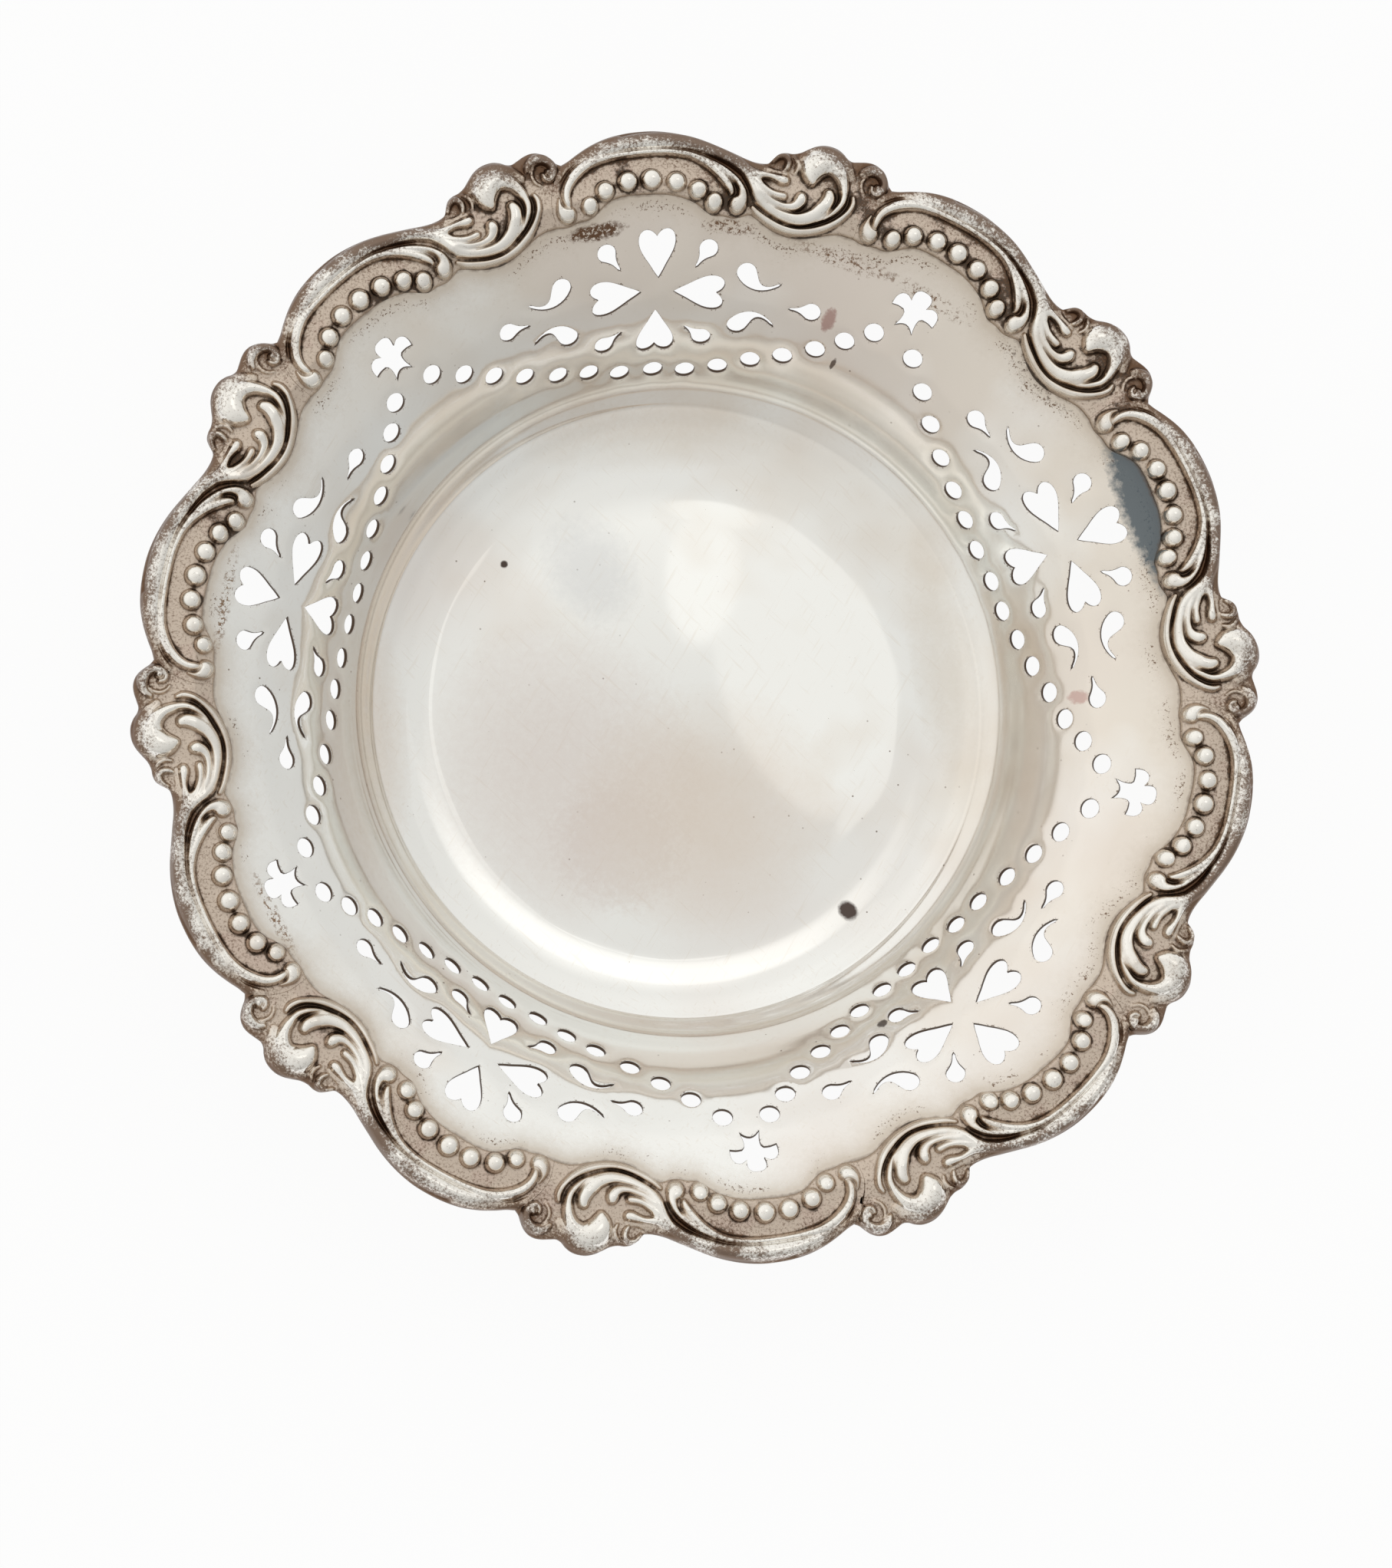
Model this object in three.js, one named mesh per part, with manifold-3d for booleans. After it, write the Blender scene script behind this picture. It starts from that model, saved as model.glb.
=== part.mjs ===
// A pierced silver bonbon dish: a raised sheet bowl with ten die-struck border sections on its rim.
// Millimetres, +Z up, origin at the centre of the flat underside that the dish rests on.
// Turns are measured clockwise from +Y, seen from above.

import * as THREE from 'three';
import { mergeVertices } from 'three/addons/utils/BufferGeometryUtils.js';
import Module from 'manifold-3d';

const wasm = await Module();
wasm.setup();

// Driving dimensions of the bowl
const sheetThickness = 0.6;
const bowlDepth = 24.8;
const floorRadius = 31;
const creaseRadius = 42.3;
const creaseHeight = 2.4;
const creaseStep = 0.45;
const flangeInnerRadius = 66.6;
const flangeWidth = 2.8;
const flangeDrop = 1.2;

// Driving dimensions of the border
const sectionCount = 10;
const sectionStartTurn = THREE.MathUtils.degToRad(-6);
const beadInset = 1.2;
const borderReach = 6.8;
const stripThickness = 0.7;
const seatClearance = 0.3;
const buttGap = 0.3;
const beadRadius = 1.32;
const rollRadius = 1.75;
const rollRise = 0.55;
const scrollRadius = 0.95;
const knobRadius = 2.5;
const knobRise = 0.9;
const leafRadius = 0.85;

// Driving dimensions of the pierced zone
const garlandCount = 5;
const garlandTurn = THREE.MathUtils.degToRad(-4.9);
const heartLength = 6.8;
const heartWidth = 5.0;
const heartTipGap = 2.1;
const heartLift = 0.5;
const roundHoleDiameter = 2.66;
const dropBulbDiameter = 2.6;
const dropLength = 4.2;
const commaBulbDiameter = 2.7;
const commaLength = 6.3;
const starHeight = 5.9;
const starWidth = 6.4;
const cutOverrun = 1.6;

// How finely round forms are faceted
const latheSides = 40;
const roundHoleSides = 8;
const bulbSides = 6;
const beadSides = 6;
const beadRings = 4;
const ridgeSides = 4;
const rollSides = 6;
const smallestDetail = 0.07;

const sheetColour = new THREE.Color('#d9d4ca');
const borderColour = new THREE.Color('#c9c2b6');

const beadPlane = sheetThickness + bowlDepth;
const flangeTop = beadPlane - flangeDrop;
const flangeRadius = flangeInnerRadius + flangeWidth;
const beadCircleRadius = flangeInnerRadius + beadInset;
const quatrefoilRadius = (creaseRadius + flangeInnerRadius) / 2;
const sectionAngle = (2 * Math.PI) / sectionCount;
const garlandAngle = (2 * Math.PI) / garlandCount;

// The wall from the crease to the flange, as shares of its run and of its rise
const wallShares = [[0.08, 0.085], [0.193, 0.283], [0.31, 0.465], [0.43, 0.613], [0.6, 0.762], [0.8, 0.893]];

// The cove from the floor to the crease, as shares of its run and of its rise
const coveShares = [[0.44, 0.14], [0.76, 0.5]];

/** A point at a turn, a radius and a height. */
function place(turn, radius, height) {
  return new THREE.Vector3(radius * Math.sin(turn), radius * Math.cos(turn), height);
}

/** A point part of the way between two profile points. */
function between(start, end, [runShare, riseShare]) {
  return new THREE.Vector2(
    THREE.MathUtils.lerp(start.x, end.x, runShare),
    THREE.MathUtils.lerp(start.y, end.y, riseShare),
  );
}

/** The upper face of the sheet, from the axis to the edge of the flange. */
function sheetProfile() {
  const floorEdge = new THREE.Vector2(floorRadius, sheetThickness);
  const creaseFoot = new THREE.Vector2(creaseRadius - creaseStep, sheetThickness + creaseHeight - creaseStep);
  const crease = new THREE.Vector2(creaseRadius, sheetThickness + creaseHeight);
  const flangeStart = new THREE.Vector2(flangeInnerRadius, flangeTop);
  return [
    new THREE.Vector2(0, sheetThickness),
    floorEdge,
    ...coveShares.map((share) => between(floorEdge, creaseFoot, share)),
    creaseFoot,
    crease,
    ...wallShares.map((share) => between(crease, flangeStart, share)),
    flangeStart,
    new THREE.Vector2(flangeRadius, flangeTop),
  ];
}

const sheetTop = sheetProfile();

/** The height and the slope angle of the sheet's upper face at a radius. */
function sheetAt(radius) {
  const last = sheetTop.length - 2;
  const found = sheetTop.findIndex((point, index) => index > 0 && radius <= point.x) - 1;
  const index = found < 0 ? last : found;
  const [start, end] = [sheetTop[index], sheetTop[index + 1]];
  const share = Math.min((radius - start.x) / (end.x - start.x), 1);
  return {
    height: THREE.MathUtils.lerp(start.y, end.y, share),
    slope: Math.atan2(end.y - start.y, end.x - start.x),
  };
}

/** A profile moved square to itself, below it where the distance is negative. */
function offsetProfile(profile, distance) {
  return profile.map((point, index) => {
    const before = profile[Math.max(index - 1, 0)];
    const after = profile[Math.min(index + 1, profile.length - 1)];
    const along = after.clone().sub(before).normalize();
    const atAxis = point.x === 0;
    return new THREE.Vector2(
      atAxis ? 0 : point.x - along.y * distance,
      point.y + (atAxis ? distance : along.x * distance),
    );
  });
}

/** A closed geometry as a solid for joining and cutting. */
function toSolid(geometry) {
  const bare = geometry.clone();
  bare.deleteAttribute('normal');
  bare.deleteAttribute('uv');
  const merged = mergeVertices(bare);
  const corners = merged.index.array;
  const kept = [];
  for (let index = 0; index < corners.length; index += 3) {
    const [a, b, c] = corners.slice(index, index + 3);
    if (a !== b && b !== c && c !== a) kept.push(a, b, c);
  }
  return new wasm.Manifold(new wasm.Mesh({
    numProp: 3,
    vertProperties: new Float32Array(merged.attributes.position.array),
    triVerts: new Uint32Array(kept),
  }));
}

/** A solid as a geometry again. */
function toGeometry(solid) {
  const mesh = solid.asOriginal().simplify(smallestDetail).getMesh();
  const geometry = new THREE.BufferGeometry();
  geometry.setAttribute('position', new THREE.BufferAttribute(mesh.vertProperties, 3));
  geometry.setIndex(new THREE.BufferAttribute(mesh.triVerts, 1));
  geometry.computeVertexNormals();
  return geometry;
}

/** A solid turned from a profile that runs outwards below and back inwards above. */
function turned(profile) {
  const geometry = new THREE.LatheGeometry(profile, latheSides);
  geometry.rotateX(Math.PI / 2);
  return toSolid(geometry);
}

/** One solid from many. */
function joined(solids) {
  return solids.reduce((whole, solid) => whole.add(solid));
}

/** The bowl's plain shell, before it is pierced. */
function bowlShell() {
  const underside = offsetProfile(sheetTop, -sheetThickness);
  const flatUnderside = underside.map((point) => new THREE.Vector2(point.x, Math.max(point.y, 0)));
  return turned([...flatUnderside, ...sheetTop.slice().reverse()]);
}

/** The frame of the wall at a turn and a radius: x clockwise, y up the slope, z out of the sheet. */
function wallFrame(turn, radius) {
  const { height, slope } = sheetAt(radius);
  const clockwise = new THREE.Vector3(Math.cos(turn), -Math.sin(turn), 0);
  const outward = place(turn, Math.cos(slope), Math.sin(slope));
  const normal = clockwise.clone().cross(outward);
  return new THREE.Matrix4().makeBasis(clockwise, outward, normal).setPosition(place(turn, radius, height));
}

/** A cutter through the sheet with the given outline, set at a turn and a radius. */
function cutter(outline, turn, radius, quarterTurn = 0) {
  const depth = 2 * (sheetThickness + cutOverrun);
  const geometry = new THREE.ExtrudeGeometry(new THREE.Shape(outline), { depth, bevelEnabled: false });
  geometry.translate(0, 0, -depth / 2);
  geometry.rotateZ(quarterTurn);
  geometry.applyMatrix4(wallFrame(turn, radius));
  return toSolid(geometry);
}

/** An outline of one side's shares, mirrored across y and centred, from its foot round and back. */
function mirroredOutline(shares, width, length) {
  const side = shares.map(([x, y]) => new THREE.Vector2((x * width) / 2, (y - 1 / 2) * length));
  const other = side.filter((point) => point.x > 0).reverse();
  return [...side, ...other.map((point) => new THREE.Vector2(-point.x, point.y))];
}

/** A drop outline: a round bulb at the origin whose tail narrows along a bent line to its tip. */
function dropOutline(bulbDiameter, length, bendShare) {
  const radius = bulbDiameter / 2;
  const reach = length - radius;
  const bend = (bendShare * reach) / 4;
  const waist = tailWaistShare * radius;
  const lower = new THREE.Vector2(reach / 2, bend - waist);
  const tip = new THREE.Vector2(reach, 0);
  const upper = new THREE.Vector2(reach / 2, bend + waist);
  const bulb = [];
  for (let step = 0; step <= bulbSides; step += 1) {
    const angle = Math.PI / 2 + (Math.PI * step) / bulbSides;
    bulb.push(new THREE.Vector2(radius * Math.cos(angle), radius * Math.sin(angle)));
  }
  return [lower, tip, upper, ...bulb];
}

// Half of a heart from its tip, and half of a star from its foot, as shares of half width and length
const heartShares = [[0, 0], [0.58, 0.36], [1, 0.72], [0.82, 0.95], [0.4, 1], [0, 0.9]];
const starShares = [
  [0, 0.12], [0.42, 0], [0.33, 0.42], [1, 0.42], [0.96, 0.66], [0.66, 0.77], [0.36, 0.72], [0.36, 0.9], [0.14, 1],
];

// The half width of a drop's tail at its middle, as a share of the bulb's radius
const tailWaistShare = 0.42;

// The places of the holes of one garland: turns in shares of its angle, radii in shares of the quatrefoil's
const roundHoleShares = [
  [-0.476, 1.015], [-0.42, 0.97], [-0.363, 0.931], [-0.297, 0.9], [-0.221, 0.876], [-0.151, 0.862],
  [-0.077, 0.851], [0.003, 0.85], [0.078, 0.851], [0.152, 0.862], [0.219, 0.883], [0.283, 0.908],
  [0.343, 0.938], [0.39, 0.979], [0.434, 1.022],
];
const dropShares = [
  { at: [-0.091, 1.104], lean: -1.05 }, { at: [0.091, 1.104], lean: -2.1 },
  { at: [-0.112, 0.911], lean: 0.62 }, { at: [0.1, 0.917], lean: 2.5 },
  { at: [-0.304, 1.003], lean: -0.12 }, { at: [0.305, 1.008], lean: -2.95 },
];
const commaShares = [
  { at: [-0.184, 1.052], lean: -3.02, bend: 1.2 }, { at: [0.166, 1.062], lean: -0.12, bend: -1.2 },
  { at: [-0.188, 0.944], lean: 3.0, bend: -1.2 }, { at: [0.168, 0.947], lean: 0.14, bend: 1.2 },
];
const starTurnShare = 0.479;
const starRadiusShare = 1.103;

/** The cutters of one garland, turned from the middle of its quatrefoil. */
function garlandCutters(middleTurn) {
  const turnAt = (share) => middleTurn + share * garlandAngle;
  const radiusAt = (share) => share * quatrefoilRadius;
  const heart = mirroredOutline(heartShares, heartWidth, heartLength);
  const heartReach = heartTipGap + heartLength / 2;
  const hearts = [0, 1, 2, 3].map((quarter) => {
    const angle = (quarter * Math.PI) / 2;
    const drop = Math.cos(sheetAt(quatrefoilRadius).slope) * heartReach * Math.cos(angle);
    const turn = middleTurn - (heartReach * Math.sin(angle)) / quatrefoilRadius;
    return cutter(heart, turn, quatrefoilRadius + drop + heartLift, angle);
  });
  const roundHoleCorner = roundHoleDiameter / (1 + Math.cos(Math.PI / roundHoleSides));
  const circle = [];
  for (let side = 0; side < roundHoleSides; side += 1) {
    const angle = (2 * Math.PI * side) / roundHoleSides;
    circle.push(new THREE.Vector2(Math.cos(angle), Math.sin(angle)).multiplyScalar(roundHoleCorner));
  }
  const rounds = roundHoleShares.map(([turn, radius]) => cutter(circle, turnAt(turn), radiusAt(radius)));
  const drops = dropShares.map(({ at, lean }) => (
    cutter(dropOutline(dropBulbDiameter, dropLength, 0), turnAt(at[0]), radiusAt(at[1]), lean)));
  const commas = commaShares.map(({ at, lean, bend }) => (
    cutter(dropOutline(commaBulbDiameter, commaLength, bend), turnAt(at[0]), radiusAt(at[1]), lean)));
  const star = mirroredOutline(starShares, starWidth, starHeight);
  const stars = [cutter(star, turnAt(starTurnShare), radiusAt(starRadiusShare))];
  return [...hearts, ...rounds, ...drops, ...commas, ...stars];
}

/** The pierced bowl. */
function bowl() {
  const cutters = [];
  for (let garland = 0; garland < garlandCount; garland += 1) {
    cutters.push(...garlandCutters(garlandTurn + garland * garlandAngle));
  }
  return bowlShell().subtract(joined(cutters));
}

// One border section, from the notch before a lobe to the notch after its leaf cluster.
// Turns are shares of the section's angle from the lobe's middle, and reaches are shares of the border's
// reach from the bead circle, outwards positive.
const buttShares = [[-0.269, 0.56], [-0.316, 0.15], [-0.332, -0.15], [-0.335, -0.66]];
const outerShares = [
  [-0.187, 0.75], [-0.12, 0.91], [-0.05, 0.985], [0.03, 0.99], [0.12, 0.9], [0.2, 0.72], [0.281, 0.47],
  [0.32, 0.35], [0.349, 0.4], [0.37, 0.55], [0.426, 0.68], [0.47, 0.89], [0.52, 0.98], [0.565, 0.92],
  [0.604, 0.81], [0.662, 0.88], [0.7, 0.77],
];
const innerShares = [
  [-0.28, -0.62], [-0.21, -0.56], [-0.12, -0.31], [-0.07, -0.24], [0.01, -0.24], [0.1, -0.35],
  [0.2, -0.65], [0.265, -0.71], [0.312, -0.64], [0.38, -0.8], [0.459, -0.9], [0.54, -0.86],
  [0.623, -0.68],
];
const beadShares = [
  [-0.211, -0.37, 0.88], [-0.152, -0.12, 0.97], [-0.079, -0.015, 0.97], [0, -0.015, 1.06],
  [0.076, -0.075, 1.02], [0.144, -0.21, 0.98], [0.2, -0.48, 0.92],
];

// Ridges of a section: points of turn, reach and thickness shares, with the size that they swell to
const rollShares = [
  [-0.25, 0.36, 0.45], [-0.187, 0.56, 0.8], [-0.1, 0.73, 1], [0, 0.77, 1.05], [0.1, 0.71, 1],
  [0.187, 0.5, 0.85], [0.26, 0.26, 0.7], [0.32, -0.1, 0.75], [0.385, -0.42, 0.8], [0.47, -0.53, 0.8],
  [0.54, -0.43, 0.75], [0.587, -0.2, 0.62], [0.597, 0.15, 0.55], [0.59, 0.4, 0.6],
];
const scrollShares = [
  [-0.262, -0.28, 0.85], [-0.26, 0, 0.8], [-0.23, 0.3, 0.8], [-0.16, 0.5, 0.85], [-0.07, 0.56, 0.9],
  [0.03, 0.55, 0.9], [0.12, 0.45, 0.85], [0.19, 0.25, 0.8], [0.24, -0.02, 0.8], [0.256, -0.2, 0.7],
];
const crescentShares = [
  [0.335, -0.64, 0.35], [0.39, -0.74, 0.7], [0.46, -0.8, 0.85], [0.53, -0.75, 0.85], [0.595, -0.55, 0.8],
  [0.633, -0.3, 0.75], [0.64, -0.05, 0.65], [0.624, 0.1, 0.45],
];
const leafShares = [
  [[0.345, 0.07, 0.5], [0.385, 0.17, 0.7], [0.425, 0.1, 0.65]],
  [[0.36, -0.2, 0.6], [0.4, -0.34, 0.8], [0.445, -0.3, 0.9], [0.467, -0.15, 1.05]],
  [[0.49, -0.42, 0.6], [0.535, -0.28, 0.85], [0.556, -0.08, 1], [0.545, 0.03, 0.7]],
  [[0.37, 0.4, 0.5], [0.395, 0.5, 0.75], [0.418, 0.42, 0.75], [0.412, 0.28, 0.5]],
];
const curlShares = [
  [0.628, 0.6, 0.5], [0.645, 0.74, 0.9], [0.675, 0.72, 1], [0.695, 0.53, 0.9], [0.685, 0.36, 0.95],
  [0.665, 0.38, 0.8],
];
const terminalDropShares = [[-0.274, -0.42, 1.3], [0.276, -0.48, 1.35]];
const knobShares = [[0.51, 0.54, 1], [0.497, 0.28, 0.72], [0.555, 0.6, 0.78]];

/** The turn and the radius of a share of a section. */
function sectionPlace([turnShare, reachShare]) {
  return { turn: turnShare * sectionAngle, radius: beadCircleRadius + reachShare * borderReach };
}

/** The ground of the border, where its relief stands on the strip. */
function groundAt(radius) {
  const lift = radius < flangeInnerRadius ? seatClearance : 0;
  return sheetAt(radius).height + lift + stripThickness;
}

/** A round ridge that swells and narrows along its points, half sunk in the ground. */
function ridge(shares, size, rise, sides) {
  const stations = shares.map((share) => {
    const { turn, radius } = sectionPlace(share);
    return { centre: place(turn, radius, groundAt(radius) + rise), half: size * share[2] };
  });
  const path = new THREE.CatmullRomCurve3(stations.map(({ centre }) => centre));
  const steps = stations.length - 1;
  const positions = [];
  const corners = [];
  for (let step = 0; step <= steps; step += 1) {
    const share = step / steps;
    const centre = path.getPoint(share);
    const along = path.getTangent(share);
    const across = new THREE.Vector3(along.y, -along.x, 0).normalize();
    const upward = across.clone().cross(along).normalize();
    const { half } = stations[step];
    for (let side = 0; side < sides; side += 1) {
      const angle = (2 * Math.PI * side) / sides;
      const corner = centre.clone()
        .addScaledVector(across, half * Math.cos(angle))
        .addScaledVector(upward, half * Math.sin(angle));
      positions.push(...corner.toArray());
      const next = (side + 1) % sides;
      const [a, b] = [step * sides + side, step * sides + next];
      if (step < steps) corners.push(a, a + sides, b, b, a + sides, b + sides);
    }
  }
  const lastRing = steps * sides;
  for (let side = 1; side < sides - 1; side += 1) {
    corners.push(0, side, side + 1, lastRing, lastRing + side + 1, lastRing + side);
  }
  const geometry = new THREE.BufferGeometry();
  geometry.setAttribute('position', new THREE.Float32BufferAttribute(positions, 3));
  geometry.setIndex(corners);
  return toSolid(geometry);
}

/** A ball on the strip, flattened by the given share. */
function ball(share, radius, rise) {
  const { turn, radius: distance } = sectionPlace(share);
  const geometry = new THREE.SphereGeometry(radius * share[2], beadSides, beadRings);
  geometry.rotateX(Math.PI / 2);
  const centre = place(turn, distance, groundAt(distance) + rise);
  geometry.translate(centre.x, centre.y, centre.z);
  return toSolid(geometry);
}

/** The plan outline of a section, with half the butt gap left free at each end. */
function sectionOutline() {
  const halfGap = buttGap / 2;
  const point = (share, sideGap) => {
    const { turn, radius } = sectionPlace(share);
    const centre = place(turn + sideGap / radius, radius, 0);
    return new THREE.Vector2(centre.x, centre.y);
  };
  const end = buttShares.map(([turn, reach]) => [turn + 1, reach]);
  return [
    ...buttShares.slice().reverse().map((share) => point(share, halfGap)),
    ...outerShares.map((share) => point(share, 0)),
    ...end.map((share) => point(share, -halfGap)),
    ...innerShares.slice().reverse().map((share) => point(share, 0)),
  ];
}

/** One border section, its lobe in the middle of turn zero. */
function borderSection() {
  const innermost = beadCircleRadius - borderReach;
  const outermost = beadCircleRadius + 2 * borderReach;
  const crest = beadPlane + borderReach;
  const seat = [
    ...offsetProfile(sheetTop, seatClearance).filter(({ x }) => x > innermost && x < flangeInnerRadius),
    new THREE.Vector2(flangeInnerRadius, flangeTop),
  ];
  const inside = new THREE.Vector2(innermost, sheetAt(innermost).height + seatClearance);
  const strip = turned([
    inside,
    ...seat,
    new THREE.Vector2(outermost, flangeTop),
    new THREE.Vector2(outermost, flangeTop + stripThickness),
    new THREE.Vector2(flangeInnerRadius, flangeTop + stripThickness),
    new THREE.Vector2(innermost, groundAt(innermost)),
    inside,
  ]);
  const above = turned([
    inside,
    ...seat,
    new THREE.Vector2(outermost, flangeTop),
    new THREE.Vector2(outermost, crest),
    new THREE.Vector2(innermost, crest),
    inside,
  ]);
  const plan = new THREE.ExtrudeGeometry(new THREE.Shape(sectionOutline()), {
    depth: crest,
    bevelEnabled: false,
  });
  const relief = joined([
    ridge(rollShares, rollRadius, rollRise, rollSides),
    ridge(scrollShares, scrollRadius, 0, ridgeSides),
    ridge(crescentShares, leafRadius, 0, ridgeSides),
    ...leafShares.map((shares) => ridge(shares, leafRadius, 0, ridgeSides)),
    ridge(curlShares, leafRadius, 0, ridgeSides),
    ...beadShares.map((share) => ball(share, beadRadius, beadRadius / 3)),
    ...terminalDropShares.map((share) => ball(share, leafRadius, 0)),
    ...knobShares.map((share) => ball(share, knobRadius, knobRise - knobRadius / 2)),
  ]);
  return strip.add(relief.intersect(above)).intersect(toSolid(plan));
}

/** A named mesh of one finish. */
function mesh(name, solid, material) {
  const part = new THREE.Mesh(toGeometry(solid), material);
  part.name = name;
  return part;
}

const dish = new THREE.Group();
const polishedSheet = new THREE.MeshStandardMaterial({ color: sheetColour, metalness: 1, roughness: 0.28 });
const struckBorder = new THREE.MeshStandardMaterial({ color: borderColour, metalness: 1, roughness: 0.36 });

dish.add(mesh('bowl', bowl(), polishedSheet));

const section = borderSection();
for (let index = 0; index < sectionCount; index += 1) {
  const name = `border_section_${String(index + 1).padStart(2, '0')}`;
  const part = mesh(name, section, struckBorder);
  part.rotation.z = -(sectionStartTurn + index * sectionAngle);
  dish.add(part);
}

export default dish;
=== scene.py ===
"""A pierced silver bonbon dish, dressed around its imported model.

The bowl is one raised sheet with five pierced garlands, and ten die-struck border units are soldered
on its rim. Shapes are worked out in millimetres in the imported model's frame and go into the meshes in
metres. Turns are measured clockwise from +Y, seen from above.
"""

import logging
import math
from dataclasses import dataclass, field
from enum import Enum
from functools import partial
from typing import Callable, Sequence

import bpy
import numpy as np
from mathutils import Matrix, Vector
from mathutils.geometry import delaunay_2d_cdt


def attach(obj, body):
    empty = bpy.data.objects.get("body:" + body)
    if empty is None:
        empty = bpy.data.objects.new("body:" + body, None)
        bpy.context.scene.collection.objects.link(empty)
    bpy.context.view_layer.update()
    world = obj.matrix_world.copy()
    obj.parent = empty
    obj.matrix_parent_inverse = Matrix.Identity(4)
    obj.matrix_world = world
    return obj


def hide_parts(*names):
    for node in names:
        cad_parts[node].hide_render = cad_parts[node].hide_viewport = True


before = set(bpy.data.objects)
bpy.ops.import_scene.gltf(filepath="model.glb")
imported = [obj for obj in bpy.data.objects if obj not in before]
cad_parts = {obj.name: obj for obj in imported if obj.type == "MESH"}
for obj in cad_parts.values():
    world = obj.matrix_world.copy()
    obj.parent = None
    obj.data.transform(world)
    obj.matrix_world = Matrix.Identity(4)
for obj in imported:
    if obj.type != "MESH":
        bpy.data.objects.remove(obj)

Array = np.ndarray
Table = Sequence[Sequence[float]]
Pair = tuple[float, float]
Socket = bpy.types.NodeSocket
Adder = Callable[..., bpy.types.NodeOutputs]
Layers = list[tuple[Socket, str]]

MM = 0.001
PHOTO_WIDTH = 1814
PHOTO_HEIGHT = 2044
BODY = "root"
WHITE = "FFFFFF"

log = logging.getLogger("bonbon_dish")


def smooth_through(knots: Array, values: Array, at: Array) -> Array:
    """A smooth curve through given values.

    Between two knots it is the cubic that has their values and slopes, and a knot's slope is the
    weighted mean of the chords on its two sides.

    Args:
        knots: rising places of the values.
        values: one value, or one row of values, for each knot.
        at: places to read the curve at.

    Returns:
        The curve's value, or row of values, at each place.
    """
    slopes = np.gradient(values, knots, axis=0)
    left = np.clip(np.searchsorted(knots, at, side="right") - 1, 0, len(knots) - 2)
    step = knots[left + 1] - knots[left]
    share = (at - knots[left]) / step
    if values.ndim == 2:
        step, share = step[:, None], share[:, None]
    rise = share * share * (3 - 2 * share)
    leave = share * (1 - share) * (1 - share)
    arrive = share * share * (share - 1)
    inner = values[left] * (1 - rise) + values[left + 1] * rise
    return inner + step * (leave * slopes[left] + arrive * slopes[left + 1])


def drawn_line(table: Table, spacing: float) -> Array:
    """A smooth line through the rows of a table.

    Args:
        table: rows whose first two values are a place, and whose others follow along.
        spacing: distance between two rows of the line.

    Returns:
        Rows like the table's, evenly spaced along the line.
    """
    rows = np.array(table, dtype=float)
    chords = np.linalg.norm(np.diff(rows[:, :2], axis=0), axis=1)
    knots = np.concatenate([[0.0], np.cumsum(chords)])
    count = max(2, round(knots[-1] / spacing) + 1)
    return smooth_through(knots, rows, np.linspace(0, knots[-1], count))


def swell(x: Array, y: Array, length: float, seed: int, count: int = 9) -> Array:
    """A soft irregular swell: the mean of plane waves near one wavelength in seeded directions.

    Args:
        x: first coordinate of each point.
        y: second coordinate of each point.
        length: wavelength, in the unit of the coordinates.
        seed: picks the directions and phases.
        count: number of waves.

    Returns:
        The swell at each point, mostly between -1 and 1.
    """
    random = np.random.default_rng(seed)
    angles = random.uniform(0, 2 * np.pi, count)
    phases = random.uniform(0, 2 * np.pi, count)
    stretches = random.uniform(0.7, 1.4, count)
    total = np.zeros(np.broadcast(x, y).shape)
    for angle, phase, stretch in zip(angles, phases, stretches):
        along = x * math.cos(angle) + y * math.sin(angle)
        total += np.cos(2 * np.pi * stretch * along / length + phase)
    return total / math.sqrt(2 * count)


def softened(heights: Array, blur: float, step: float) -> Array:
    """A height field blurred by a bell curve, through its Fourier transform.

    Args:
        heights: the field, on a square grid.
        blur: standard deviation of the bell curve.
        step: distance between two grid points.

    Returns:
        The blurred field.
    """
    rows, columns = heights.shape
    across = np.fft.fftfreq(rows, step)[:, None]
    along = np.fft.rfftfreq(columns, step)[None, :]
    keep = np.exp(-2 * (np.pi * blur) ** 2 * (across**2 + along**2))
    return np.fft.irfft2(np.fft.rfft2(heights) * keep, s=heights.shape)


def linear(code: str) -> tuple[float, float, float, float]:
    """Turns an sRGB colour to a linear one.

    Args:
        code: six hex digits, such as D9D4CA.

    Returns:
        Red, green, blue and an alpha of one.
    """
    shares = [int(code[place : place + 2], 16) / 255 for place in (0, 2, 4)]
    bright = [s / 12.92 if s <= 0.04045 else ((s + 0.055) / 1.055) ** 2.4 for s in shares]
    return (bright[0], bright[1], bright[2], 1.0)


def linked(name: str, data: bpy.types.ID) -> bpy.types.Object:
    """Adds an object to the scene.

    Args:
        name: the object's name.
        data: its mesh, lamp or camera.

    Returns:
        The new object.
    """
    made = bpy.data.objects.new(name, data)
    bpy.context.scene.collection.objects.link(made)
    return made


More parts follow.
